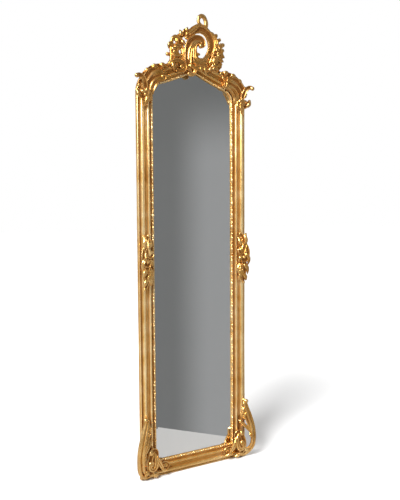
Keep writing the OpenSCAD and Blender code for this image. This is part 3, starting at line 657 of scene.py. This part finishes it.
def carve(settings, name, node, side=1):
    made = []
    shiftX, shiftY = settings["origin"]
    for kind, knots in settings["cuts"]:
        placed = [(x + shiftX, y + shiftY, depth, radius) for x, y, depth, radius in knots]
        made += cut(kind, placed, side)
    carving = joinAll(made, name)
    addModifier(carving, "REMESH", mode="VOXEL", voxel_size=settings["voxel"])
    addModifier(carving, "SMOOTH", factor=0.5, iterations=2)
    for place, facing in settings["trims"]:
        trim(carving, place, facing)
    addModifier(carving, "DECIMATE", ratio=settings["keep"])
    markRelief(carving, reliefScales["carving"])
    standUp(carving)
    bpy.ops.object.shade_smooth()
    finishPiece(carving, "gilded_carving", "root", node)


def ring(middle, radius, angles, depth, width):
    x, y = middle
    return [(x + radius * math.cos(math.radians(a)), y + radius * math.sin(math.radians(a)), depth, width)
        for a in angles]


# A stroke's knots run from end to end: across, up, forwards and half width, from the carving's origin.
# A knob or a flower takes one knot. The left piece of a pair is the mirror image of the right one.
crestScroll = {
    "origin": (0, stileTop),
    "voxel": 1.25,  # cell of the remesh that makes the strokes one body
    "keep": 0.5,  # share of its faces that stay
    "trims": [((0, 0, 14), (0, 0, -1))],  # a point of each cut, and the side that goes
    "cuts": [
        ("round", [(44, 264, 30, 11), (52, 281, 30, 9), (49, 300, 30, 8.5), (37, 313, 30, 8.7),
            (24, 309, 30, 8), (18.5, 297, 30, 7), (20, 287, 30, 6.5), (30, 278, 30, 6.5),
            (42, 272, 30, 8)]),
        ("split", [(-24, 236, 32, 8), (-8, 250, 33, 10), (8, 266, 34, 9), (20, 280, 32, 6)]),
        ("cove", [(40, 270, 30, 11), (18, 271, 30, 10), (-2, 262, 30, 9), (-18, 248, 30, 9),
            (-32, 226, 30, 7)]),
        ("keel", [(46, 268, 32, 10), (62, 258, 32, 9), (80, 247, 30, 6)]),
        ("cove", [(-34, 222, 32, 9), (-16, 240, 33, 12), (6, 254, 33, 13), (32, 258, 33, 15),
            (52, 250, 33, 16), (66, 233, 33, 16), (73, 212, 33, 16), (71, 188, 33, 15),
            (62, 166, 32, 14), (48, 148, 33, 13), (30, 136, 34, 12), (8, 130, 34, 10)]),
        ("round", [(58, 150, 30, 12), (38, 138, 31, 16), (14, 136, 31, 17), (-8, 140, 31, 14)]),
        ("cove", [(20, 192, 43, 8), (31, 202, 42, 11), (27, 217, 40, 12), (10, 222, 38, 14),
            (-11, 213, 37, 16), (-27, 192, 37, 16.5), (-33, 166, 38, 16.5), (-34, 140, 38, 15),
            (-30, 118, 38, 12), (-22, 102, 38, 10)]),
        ("round", [(14, 213, 40, 3.5), (-5, 207, 40, 4.5), (-20, 188, 40, 5), (-27, 164, 40, 5),
            (-28, 138, 40, 4)]),
        ("split", [(-26, 116, 42, 6), (-12, 112, 43, 8), (-4, 100, 43, 8), (-8, 87, 42, 8),
            (-22, 81, 40, 7), (-32, 84, 38, 5)]),
        ("knob", [(22, 195, 43, 8.5), (-30, 85, 39, 6)]),
        ("round", [(10, 204, 32, 10), (-4, 192, 32, 13), (-4, 172, 32, 14), (4, 154, 32, 14)]),
        ("split", [(18, 208, 38, 6), (6, 203, 38, 8), (-2, 188, 38, 9.5), (-4, 166, 38, 10),
            (-4, 144, 37, 9), (6, 127, 36, 8), (24, 120, 36, 8), (46, 128, 35, 7)]),
        ("split", [(62, 172, 36, 6), (52, 156, 39, 8), (36, 144, 41, 9), (18, 140, 42, 8),
            (5, 148, 42, 7), (6, 160, 41, 6), (16, 163, 41, 5)]),
        ("split", [(-8, 112, 35, 8), (14, 113, 37, 10), (36, 117, 37, 9), (56, 126, 35, 7)]),
    ] + [("husk", [(4 + 19 * k, 119, 37, 9), (6 + 19 * k, 108 - 2 * k, 41, 9),
        (8 + 20 * k, 96 - 3 * k, 37, 4)]) for k in range(3)],
}

crestSpray = {
    "origin": (0, stileTop),
    "voxel": 1.2,
    "keep": 0.5,
    "trims": [((0, 0, 14), (0, 0, -1))],
    "cuts": [
        ("split", [(-112, 112, 33, 5), (-104, 124, 33, 7), (-100, 148, 33, 8), (-101, 172, 33, 8),
            (-100, 196, 34, 7.5), (-94, 212, 35, 7), (-84, 219, 36, 6.5), (-77, 217, 36, 5)]),
        ("cove", [(-28, 250, 32, 8), (-40, 245, 32, 10), (-46, 232, 32, 9), (-57, 226, 32, 9),
            (-62, 210, 32, 8), (-64, 195, 32, 8), (-56, 182, 32, 9), (-52, 164, 32, 9)]),
        ("round", [(-97, 204, 32, 4.5), (-84, 209, 32, 5.5), (-70, 212, 33, 6), (-60, 216, 33, 6)]),
        ("split", [(-104, 186, 34, 6), (-88, 184, 37, 8), (-72, 186, 37, 8), (-56, 184, 34, 6)]),
        ("split", [(-54, 182, 33, 7), (-50, 162, 34, 8), (-50, 142, 34, 8), (-46, 124, 34, 8)]),
        ("husk", [(-104, 152, 34, 7), (-88, 150, 38, 10), (-72, 150, 38, 9), (-52, 154, 34, 6)]),
        ("round", [(-102, 152, 31, 7), (-74, 150, 31, 7), (-48, 156, 31, 7)]),
        ("round", [(-108, 118, 30, 8), (-92, 126, 30, 11), (-58, 124, 30, 10), (-42, 124, 31, 9)]),
        ("split", [(-110, 116, 36, 7), (-94, 126, 39, 9), (-74, 130, 40, 9), (-54, 126, 38, 8)]),
        ("cove", [(-78, 122, 37, 8), (-62, 124, 38, 9), (-49, 114, 40, 9), (-49, 100, 40, 8),
            (-62, 92, 38, 8), (-80, 96, 36, 6)]),
        ("knob", [(-62, 108, 39, 6)]),
        ("husk", [(-84, 186, 34, 6), (-80, 168, 37, 8), (-78, 148, 34, 6)]),
        ("split", [(-100, 124, 33, 6), (-88, 136, 35, 8), (-78, 152, 34, 7)]),
        ("split", [(-74, 126, 33, 6), (-66, 138, 35, 8), (-58, 154, 34, 7)]),
        ("husk", [(-98, 196, 34, 6), (-110, 186, 36, 8), (-113, 170, 33, 4)]),
        ("split", [(-70, 226, 33, 6), (-78, 206, 35, 8), (-74, 190, 34, 7)]),
        ("round", [(-98, 150, 31, 6), (-117, 150, 32, 7)]),
        ("husk", [(-36, 244, 33, 6), (-34, 252, 35, 7), (-31, 262, 32, 4)]),
        ("husk", [(-56, 224, 33, 8), (-60, 234, 36, 9), (-65, 248, 32, 4)]),
        ("husk", [(-98, 124, 38, 7), (-95, 106, 42, 10), (-92, 88, 37, 4)]),
        ("flower", [(-86, 167, 42, 16)]),
        ("knob", [(-117, 150, 33, 7.5), (-80, 218, 37, 5.5)]),
        ("husk", [(-60, 208, 36, 6), (-52, 200, 40, 8), (-46, 188, 38, 4)]),
    ],
}

crestFlowers = {
    "origin": (0, stileTop),
    "voxel": 1.2,
    "keep": 0.5,
    "trims": [((0, 0, 14), (0, 0, -1))],
    "cuts": [
        ("round", [(76, 254, 30, 8), (90, 236, 30, 10), (95, 212, 30, 12), (98, 186, 30, 14),
            (97, 160, 30, 14), (92, 136, 31, 13), (82, 120, 31, 11), (64, 110, 32, 8)]),
        ("split", [(76, 252, 33, 6), (90, 234, 36, 8), (97, 212, 37, 9), (101, 192, 36, 6)]),
        ("round", [(86, 186, 31, 9), (80, 168, 31, 10), (74, 150, 31, 11), (70, 132, 31, 12)]),
        ("split", [(84, 186, 34, 5), (79, 166, 37, 7), (72, 148, 38, 8), (64, 134, 36, 6)]),
        ("round", [(102, 168, 32, 11), (108, 142, 33, 11), (106, 124, 34, 9), (92, 110, 35, 8)]),
        ("round", [(90, 240, 31, 7), (98, 248, 32, 8)]),
        ("round", [(96, 222, 32, 7), (114, 234, 32, 7)]),
        ("round", [(104, 204, 32, 8), (120, 211, 33, 8), (129, 215, 33, 8.5)]),
        ("husk", [(104, 182, 38, 8), (116, 184, 40, 9), (127, 188, 34, 4)]),
        ("husk", [(102, 170, 36, 9), (118, 168, 40, 10), (134, 164, 34, 4)]),
        ("husk", [(92, 164, 38, 9), (84, 148, 42, 12), (74, 128, 38, 7)]),
        ("husk", [(100, 152, 36, 9), (114, 150, 40, 9), (129, 147, 34, 4)]),
        ("husk", [(96, 134, 36, 9), (108, 130, 40, 9), (118, 122, 34, 4)]),
        ("husk", [(76, 124, 38, 8), (66, 112, 40, 8), (54, 106, 35, 4)]),
        ("flower", [(106, 184, 44, 18), (100, 155, 45, 16), (85, 122, 44, 14), (112, 207, 41, 10)]),
        ("knob", [(92, 140, 44, 6), (113, 136, 41, 6), (88, 196, 42, 6), (118, 162, 40, 5.5),
            (80, 174, 42, 6)]),
    ],
}

shellCentre = (-40, 0)  # of the shoulder's arc, from the sight edge
cornerShell = {
    "origin": (sightX, stileTop),
    "voxel": 1.2,
    "keep": 0.5,
    "trims": [((0, 0, 6), (0, 0, -1))],
    "cuts": [
        ("cove", [(-34, 69, 41, 6), (-38, 59, 41, 7.5), (-29, 52, 40, 8.5), (-19, 61, 38, 9.5),
            (-24, 79, 36, 10), (-44, 86, 34, 8)]),
        ("knob", [(-30, 63, 43, 6)]),
        ("round", ring(shellCentre, 58, (86, 64, 42, 20, 0), 33, 14)),
        ("round", ring(shellCentre, 80, (84, 64, 44, 24, 6), 32, 15)),
        ("cove", [(-23, 53, 40, 8), (-2, 40, 42, 11), (12, 18, 41, 11), (15, -6, 38, 8)]),
        ("cove", [(-20, 70, 39, 9), (6, 56, 42, 12.5), (25, 32, 42, 12.5), (31, 2, 39, 10)]),
        ("cove", [(-16, 89, 36, 9), (16, 76, 39, 13), (39, 50, 41, 13), (48, 20, 41, 10)]),
        ("cove", ring(shellCentre, 103, (96, 74, 52, 30, 14), 32, 10)),
        ("cove", [(38, 4, 41, 9), (43, 26, 46, 10), (51, 44, 51, 9.5), (64, 54, 54, 8.5),
            (77, 54, 57, 8)]),
        ("knob", [(80, 52, 56.5, 8.5)]),
        ("cove", [(26, -18, 38, 9), (44, -20, 42, 12), (60, -12, 43, 11), (75, 4, 44, 7)]),
        ("husk", [(60, -22, 42, 7), (70, -10, 47, 9), (78, 6, 44, 4)]),
        ("split", [(20, 4, 37, 9), (31, -10, 41, 10), (40, -28, 39, 9), (44, -48, 36, 5)]),
        ("husk", [(26, -12, 41, 7), (34, -26, 46, 10), (41, -42, 43, 8), (45, -56, 36, 4)]),
        ("husk", [(20, -8, 40, 7), (20, -22, 42, 8), (24, -36, 35, 4)]),
        ("flower", [(37, -4, 47, 15)]),
        ("knob", [(18, -6, 43, 6), (53, 0, 46, 6)]),
    ] + [("husk", ring(shellCentre, 99, (90 - 19 * k,), 32, 9)
        + ring(shellCentre, 106, (86 - 19 * k,), 36, 11)
        + ring(shellCentre, 110, (79 - 19 * k,), 31, 5)) for k in range(4)],
}

midSpray = {
    "origin": (sightX, 848),
    "voxel": 1.15,
    "keep": 0.55,
    "trims": [((0, 0, 6), (0, 0, -1))],
    "cuts": [
        ("round", [(40, 84, 31, 6), (46, 50, 34, 11), (44, 4, 36, 12), (43, -40, 35, 11),
            (45, -84, 31, 6)]),
        ("cove", [(32, 100, 34, 6), (42, 88, 39, 9), (48, 66, 45, 11), (43, 42, 48, 11),
            (32, 24, 48, 9), (23, 31, 46, 8), (28, 42, 45, 6)]),
        ("cove", [(48, 66, 43, 7), (58, 40, 49, 9), (58, 12, 52, 10), (47, -8, 51, 10), (34, -8, 47, 7)]),
        ("cove", [(33, 18, 46, 6), (43, -14, 48, 11), (47, -44, 46, 11), (43, -74, 43, 9),
            (48, -100, 36, 5)]),
        ("split", [(32, -22, 40, 7), (22, -42, 41, 8), (28, -58, 43, 8), (43, -56, 45, 7)]),
        ("split", [(50, 56, 46, 6), (54, 74, 49, 8), (52, 90, 46, 7), (58, 101, 42, 4)]),
        ("split", [(50, 16, 51, 7), (61, 4, 54, 8), (64, -12, 53, 7), (62, -26, 49, 4)]),
        ("husk", [(44, -24, 47, 7), (55, -38, 51, 10), (62, -56, 48, 6), (62, -70, 43, 4)]),
        ("husk", [(42, -62, 43, 7), (52, -78, 46, 9), (59, -96, 39, 4)]),
        ("husk", [(40, 56, 43, 8), (30, 68, 43, 10), (22, 88, 33, 4)]),
        ("husk", [(40, -54, 42, 8), (30, -70, 42, 10), (22, -92, 33, 4)]),
        ("husk", [(38, 10, 48, 7), (27, 0, 48, 9), (20, -16, 41, 4)]),
        ("knob", [(33, 101, 35, 6), (50, -101, 36, 6), (27, 36, 48, 6), (37, -52, 46, 6),
            (42, 4, 53, 7)]),
    ] + [("husk", [(36, -26 - 11 * k, 44, 5), (28, -30 - 11 * k, 46, 6), (21, -36 - 11 * k, 41, 3)])
        for k in range(3)],
}

footScroll = {
    "origin": (sightX, 0),
    "voxel": 1.3,
    "keep": 0.5,
    "trims": [((0, 0, 14), (0, 0, -1)), ((0, 0.15, 0), (0, -1, 0))],
    "cuts": [
        ("round", [(50, 250, 36, 6), (53, 232, 36, 7), (60, 208, 38, 8), (69, 180, 41, 8),
            (79, 148, 44, 8), (86, 112, 47, 8), (87, 78, 47, 8), (83, 50, 43, 8.5), (70, 27, 32, 9),
            (50, 13, 24, 9), (28, 14, 24, 8)]),
        ("round", [(51, 250, 44, 5), (56, 232, 47, 5.5), (64, 208, 50, 6), (73, 180, 54, 6.5),
            (82, 148, 57, 6.5), (88.5, 112, 58, 6.5), (89, 78, 58, 6.5), (85, 50, 53, 6.5),
            (72, 26, 41, 7), (50, 11, 29, 7.5), (30, 14, 27, 6)]),
        ("round", [(45, 240, 47, 5), (49, 222, 50, 5.5), (56, 196, 54, 6), (64, 168, 58, 6),
            (71, 140, 61, 6.5), (75, 112, 62, 6.5), (75.5, 80, 62, 6), (72, 56, 56, 6), (62, 36, 45, 5)]),
        ("round", [(40, 222, 43, 3.5), (43, 202, 47, 4.5), (49, 176, 52, 5), (58, 148, 58, 4.5),
            (68, 122, 60, 3)]),
        ("knob", [(56, 245, 46, 8.5), (55, 9, 24, 8), (70, 14, 28, 7.5)]),
        ("split", [(30, 163, 38, 6), (42, 148, 47, 7), (57, 131, 55, 7), (74, 112, 57, 6)]),
        ("split", [(36, 194, 38, 6), (46, 180, 46, 7), (58, 163, 53, 6)]),
        ("cove", [(16, 118, 37, 7), (29, 111, 41, 10), (38, 92, 44, 11), (44, 66, 45, 11),
            (41, 42, 43, 11), (31, 22, 40, 10)]),
        ("split", [(22, 106, 40, 6), (14, 86, 43, 9), (15, 64, 46, 10), (24, 47, 47, 10),
            (37, 48, 48, 9), (43, 62, 48, 8), (36, 74, 48, 6.5), (27, 69, 48, 5)]),
        ("round", [(32, 104, 33, 12), (32, 70, 34, 16), (34, 42, 34, 13)]),
        ("knob", [(33, 63, 49, 5.5)]),
        ("split", [(12, 94, 40, 7), (4, 74, 42, 9), (-6, 54, 41, 9), (-15, 38, 37, 7)]),
        ("cove", [(-6, 54, 35, 6), (-20, 56, 35, 7), (-35, 52, 34, 7.5), (-41, 43, 33, 7),
            (-33, 36, 33, 6), (-25, 41, 33, 5)]),
        ("cove", [(34, 106, 41, 8), (25, 117, 41, 9), (14, 114, 39, 9), (9, 98, 37, 8), (10, 76, 37, 7)]),
        ("husk", [(-12, 34, 37, 7), (-26, 27, 38, 8), (-42, 24, 31, 4)]),
        ("husk", [(50, 46, 45, 9), (58, 34, 48, 9), (65, 22, 42, 5)]),
        ("husk", [(36, 100, 43, 8), (35, 112, 44, 10), (30, 127, 36, 4)]),
        ("husk", [(80, 90, 60, 6), (72, 98, 60, 8), (64, 110, 54, 4)]),
        ("husk", [(48, 222, 47, 7), (41, 206, 47, 9), (36, 186, 40, 4)]),
        ("husk", [(56, 200, 50, 7), (48, 186, 50, 8), (42, 166, 43, 4)]),
        ("husk", [(26, 22, 41, 7), (14, 16, 40, 8), (0, 14, 34, 4)]),
    ],
}

carve(crestScroll, "crest_scroll_carving", "crest_scroll")
carve(crestSpray, "crest_spray_carving", "crest_spray")
carve(crestFlowers, "crest_flowers_carving", "crest_flowers")
for sideName, side in (("left", -1), ("right", 1)):
    carve(cornerShell, f"corner_shell_carving_{sideName}", f"corner_shell_{sideName}", side)
    carve(midSpray, f"mid_spray_carving_{sideName}", f"mid_spray_{sideName}", side)
    carve(footScroll, f"foot_scroll_carving_{sideName}", f"foot_scroll_{sideName}", side)
for spare in list(leaves.values()) + list(sections.values()):
    bpy.data.objects.remove(spare)


# Carved ribbon and beads along the sight edge

beadRow = {
    "pitch": 48,
    "across": 5,  # the row's middle, outwards from the sight edge
    "low": 15.2,  # its underside, forwards from the frame's back
    "shaved": 0.1,  # off the underside
    "band": {"top": 16.3, "half": 3.9},
    "beads": [(13.5, 12, 3.5, 5.1), (33.5, 5.6, 3.3, 4.8)],  # middle, half length, half width, height
    "beadLift": 0.6,
    "ribbons": [(1.5, 24), (26.5, -24), (40.5, 24)],  # middle and lean in degrees
    "ribbon": {"radius": 3.3, "thick": 1.15, "lift": 0.9},
    "overrun": 6,  # past the lower corners, where the rows are mitred
    "voxel": 0.7,
    "keep": 0.45,
}


def modelBeadUnit():
    made = []
    for middle, reach, half, height in beadRow["beads"]:
        bpy.ops.mesh.primitive_uv_sphere_add(segments=16, ring_count=12, radius=1)
        bead = bpy.context.object
        bead.rotation_euler = (0, math.pi / 2, 0)
        bead.scale = (height, half, reach)
        bead.location = (middle, 0, beadRow["low"] + beadRow["beadLift"])
        made.append(bead)
    size = beadRow["ribbon"]
    for middle, lean in beadRow["ribbons"]:
        bpy.ops.mesh.primitive_torus_add(major_segments=20, minor_segments=8, major_radius=size["radius"],
            minor_radius=size["thick"])
        ribbon = bpy.context.object
        ribbon.rotation_euler = (0, math.pi / 2, math.radians(lean))
        ribbon.location = (middle, 0, beadRow["low"] + size["lift"])
        made.append(ribbon)
    top, half = beadRow["band"]["top"], beadRow["band"]["half"]
    bpy.ops.mesh.primitive_cube_add(size=1)
    band = bpy.context.object
    band.scale = (beadRow["pitch"], 2 * half, top - beadRow["low"])
    band.location = (beadRow["pitch"] / 2, 0, (top + beadRow["low"]) / 2)
    made.append(band)
    pick(*made)
    bpy.ops.object.transform_apply(location=True, rotation=True, scale=True)
    return joinAll(made, "bead unit")


def openingPath(part):
    # The row's middle line on the right half, in bench millimetres
    across, overrun = beadRow["across"], beadRow["overrun"]
    cornerX, cornerY = sightX + across, sightZ - across
    radius, turn = opening["radius"], opening["turn"]
    if part == "side":
        return [(cornerX, cornerY - overrun, 0, 1), (cornerX, stileTop, 0, 1)]
    if part == "bottom":
        return [(-cornerX - overrun, cornerY, 0, 1), (cornerX + overrun, cornerY, 0, 1)]
    if part == "shoulder":
        return ring((sightX - radius, stileTop), radius + across, range(0, turn + 1, turn // 6), 0, 1)
    x, y = archCentre()
    reach = opening["archRadius"] - across
    end = 180 + math.degrees(math.acos(x / reach))
    steps = [180 + turn + (end - 180 - turn) * k / 6 for k in range(7)]
    return ring((x, y), reach, steps, 0, 1)


def layBeads(part, name, node, side=1):
    knots = [(side * x, y, depth, radius) for x, y, depth, radius in openingPath(part)]
    reach = sum(math.dist(a[:2], b[:2]) for a, b in zip(knots, knots[1:]))
    path = addPath(knots)
    path.data.resolution_u = 24
    path.data.use_stretch = path.data.use_deform_bounds = True
    row = bpy.data.objects.new(name, beadUnit.data.copy())
    row.data.name = name
    bpy.context.scene.collection.objects.link(row)
    addModifier(row, "ARRAY", count=max(1, round(reach / beadRow["pitch"])), use_relative_offset=False,
        use_constant_offset=True, constant_offset_displace=(beadRow["pitch"], 0, 0))
    addModifier(row, "CURVE", object=path)
    bpy.data.objects.remove(path)
    addModifier(row, "REMESH", mode="VOXEL", voxel_size=beadRow["voxel"])
    addModifier(row, "SMOOTH", factor=0.5, iterations=1)
    trim(row, (0, 0, beadRow["low"] + beadRow["shaved"]), (0, 0, -1))
    if part == "side":
        trim(row, (side * sightX, sightZ, 0), (-side, -1, 0))
    if part == "bottom":
        trim(row, (sightX, sightZ, 0), (1, 1, 0))
        trim(row, (-sightX, sightZ, 0), (-1, 1, 0))
    addModifier(row, "DECIMATE", ratio=beadRow["keep"])
    markRelief(row, reliefScales["beads"])
    standUp(row)
    bpy.ops.object.shade_smooth()
    finishPiece(row, "gilded_bead", "root", node)


beadUnit = modelBeadUnit()
layBeads("bottom", "sight_beads_bottom", "bottom_bead")
for sideName, side in (("left", -1), ("right", 1)):
    layBeads("side", f"sight_beads_{sideName}", f"{sideName}_bead", side)
    layBeads("shoulder", f"sight_beads_shoulder_{sideName}", f"shoulder_bead_{sideName}", side)
    layBeads("arch", f"sight_beads_arch_{sideName}", f"arch_bead_{sideName}", side)
bpy.data.objects.remove(beadUnit)


# Plate glass with its ground bevel

glassCut = {
    "bevel": 17,
    "fall": 0.9,  # of the bevel, from the face to the rim
    "flat": 0.15,  # degrees under which neighbouring faces are merged
}


def layGlass():
    pane = bpy.data.objects.new("bevelled_glass", nodes["mirror_glass"].data.copy())
    pane.data.name = pane.name
    bpy.context.scene.collection.objects.link(pane)
    openMesh(pane)
    bpy.ops.mesh.remove_doubles(threshold=0.01 * mm)
    bpy.ops.mesh.dissolve_limited(angle_limit=math.radians(glassCut["flat"]))
    bpy.ops.mesh.select_all(action="DESELECT")
    bpy.ops.object.mode_set(mode="OBJECT")
    front = min(vertex.co.y for vertex in pane.data.vertices)
    rim = {vertex.index for vertex in pane.data.vertices if vertex.co.y < front + 0.1 * mm}
    for face in pane.data.polygons:
        face.select = face.normal.y < -0.9
    bpy.ops.object.mode_set(mode="EDIT")
    bpy.ops.mesh.select_mode(type="FACE")
    bpy.ops.mesh.inset(thickness=glassCut["bevel"] * mm)
    bpy.ops.object.mode_set(mode="OBJECT")
    for index in rim:
        pane.data.vertices[index].co.y += glassCut["fall"] * mm
    finishPiece(pane, "mirror_glass", "root", "mirror_glass")


layGlass()


# Finishes of the nodes that stay as they are

slotOf = {part["node"]: part["material_slot"] for part in frame["record"]["subparts"]}
for name, node in nodes.items():
    if slotOf[name] == "gilded_moulding":
        finish = mouldingFinish[next(run for run in runs if run in name)]
    else:
        finish = battenFinish if name == "cross_batten" else finishes[slotOf[name]]
    node.data.materials.clear()
    node.data.materials.append(finish)
print("nodes finished:", len(nodes))


# Studio: pale floor, soft boxes, a soft sun, white air and a glowing grey card

scene = bpy.context.scene
scene.view_settings.view_transform = "Standard"
scene.view_settings.look = "None"

studio = {
    "camera": (-1.0651, -2.0115, 1.0361),
    "looks": (0.47711, 0.87641, -0.06545),
    "up": (0.03648, 0.05467, 0.99784),
    "lens": 41.155,
    "sensor": 36,
    "sun": {"from": (-0.68, -0.4, 0.62), "spread": 22, "power": 3.4},
    "boxes": {
        "left": {"at": (-2.1, -1.5, 2.4), "size": 1.5, "power": 79},
        "right": {"at": (3.0, -2.0, 1.8), "size": 1.4, "power": 22},
        "rear": {"at": (0.9, 2.6, 2.2), "size": 1.6, "power": 25},
        "strip": {"at": (2.4, -1.5, 2.2), "size": 0.7, "power": 18},
    },
    "aim": (0, 0, 1.4),  # of the soft boxes
    "air": {"seen": 1.0, "mirrored": 0.27, "shining": 0.22},
}
floorSheet = {
    "size": 60,
    "seen": (0.93, 0.93, 0.93),
    "mirrored": (0.43, 0.42, 0.415),  # painted shade: the glass and the gilding reflect the floor greyer than the camera sees it
    "dusty": (0.8, 0.8, 0.8),
    "dust": 0.06,
    "far": {"glow": (0.3, 0.3, 0.3), "from": 1.0, "to": 2.6},  # lets the picture's floor run into white
}


def floorFinish():
    paint = Paint("pale floor")
    glossy = paint.node("ShaderNodeLightPath", output="Is Glossy Ray")
    cloud = paint.noise(0.8, 2)
    # painted shade in reflections: glossy rays see the floor greyer
    tone = paint.mix(glossy, floorSheet["seen"], floorSheet["mirrored"])
    paint.put("Base Color", paint.mix(cloud * floorSheet["dust"], tone, floorSheet["dusty"]))
    x, y, z = paint.axes()
    far = floorSheet["far"]
    reach = ((x ** 2 + y ** 2) ** 0.5).step(far["from"], far["to"])
    seen = paint.node("ShaderNodeLightPath", output="Is Camera Ray")
    paint.put("Emission Color", paint.mix(reach * seen, (0, 0, 0), far["glow"]))
    paint.put("Emission Strength", 1.0)
    paint.put("Roughness", 1.0)
    paint.put("Specular IOR Level", 0.0)
    return paint.material


bpy.ops.mesh.primitive_plane_add(size=floorSheet["size"], location=(0, 0, 0))
floor = bpy.context.object
floor.name = "pale_floor"
floor.data.materials.append(floorFinish())

# A grey card out of the picture, which only the glass and the gilding show. It is no lamp but glows: its
# emission paints the greys that the glass reflects
card = {
    "foot": (0.0466, -0.463),  # a point of its lower edge
    "turn": 48.65,
    "reach": (-0.17, 0.56),
    "height": 2.0,
    "dark": (0.154, 0.156, 0.156),
    "top": (0.134, 0.137, 0.136),
    "light": (0.316, 0.318, 0.322),
    "lightFrom": (0.07, 0.27),  # along the card from its foot point
    "lightEnds": (1.25, 1.62),  # and up it
    "topFrom": (1.1, 1.7),
}


def glowingCardFinish():
    paint = Paint("grey card")
    x, y, z = paint.axes()
    angle = math.radians(card["turn"])
    along = (x - card["foot"][0]) * math.cos(angle) + (y - card["foot"][1]) * math.sin(angle)
    # painted light: a lighter glowing patch on the card
    lift = along.step(*card["lightFrom"]) * (1 - z.step(*card["lightEnds"]))
    paint.put("Base Color", (0.02, 0.02, 0.02, 1))
    paint.put("Roughness", 1.0)
    # painted shade: the card's glow darker towards its top
    dark = paint.mix(z.step(*card["topFrom"]), card["dark"], card["top"])
    paint.put("Emission Color", paint.mix(lift, dark, card["light"]))
    paint.put("Emission Strength", 1.0)
    return paint.material


bpy.ops.mesh.primitive_plane_add(size=1)
greyCard = bpy.context.object
greyCard.name = "grey_card"
angle = math.radians(card["turn"])
low, high = card["reach"]
middle = (low + high) / 2
greyCard.scale = (high - low, card["height"], 1)
greyCard.rotation_euler = (math.pi / 2, 0, angle)
greyCard.location = (card["foot"][0] + middle * math.cos(angle), card["foot"][1] + middle * math.sin(angle),
    card["height"] / 2)
bpy.ops.object.transform_apply(location=True, rotation=True, scale=True)
greyCard.data.materials.append(glowingCardFinish())
greyCard.visible_camera = greyCard.visible_diffuse = greyCard.visible_shadow = False

for name, box in studio["boxes"].items():
    light = bpy.data.lights.new("soft box " + name, "AREA")
    light.shape = "SQUARE"
    light.size = box["size"]
    light.energy = box["power"]
    lamp = bpy.data.objects.new(light.name, light)
    lamp.location = box["at"]
    lamp.rotation_euler = (Vector(studio["aim"]) - lamp.location).to_track_quat("-Z", "Y").to_euler()
    scene.collection.objects.link(lamp)

sun = bpy.data.lights.new("soft sun", "SUN")
sun.energy = studio["sun"]["power"]
sun.angle = math.radians(studio["sun"]["spread"])
lamp = bpy.data.objects.new(sun.name, sun)
lamp.rotation_euler = Vector(studio["sun"]["from"]).to_track_quat("Z", "Y").to_euler()
scene.collection.objects.link(lamp)

# White air: bright to the camera, softer where the gilding mirrors it and where it lights the floor
world = bpy.data.worlds.new("studio air")
world.use_nodes = True
scene.world = world
air = world.node_tree
backdrop = air.nodes["Background"]
backdrop.inputs["Color"].default_value = (1, 1, 1, 1)
rays = air.nodes.new("ShaderNodeLightPath")
level = None
for socket, key in (("Is Camera Ray", "seen"), ("Is Glossy Ray", "mirrored")):
    choose = air.nodes.new("ShaderNodeMix")
    air.links.new(rays.outputs[socket], choose.inputs["Factor"])
    choose.inputs["A"].default_value = studio["air"]["shining"]
    choose.inputs["B"].default_value = studio["air"][key]
    if level is not None:
        air.links.new(level, choose.inputs["A"])
    level = choose.outputs["Result"]
air.links.new(level, backdrop.inputs["Strength"])

cameraData = bpy.data.cameras.new("view")
cameraData.lens = studio["lens"]
cameraData.sensor_width = studio["sensor"]
camera = bpy.data.objects.new("view", cameraData)
forward, up = Vector(studio["looks"]).normalized(), Vector(studio["up"])
right = forward.cross(up).normalized()
up = right.cross(forward)
turn = Matrix((right, up, -forward)).transposed()
camera.matrix_world = Matrix.Translation(studio["camera"]) @ turn.to_4x4()
scene.collection.objects.link(camera)
scene.camera = camera
print("studio lit")
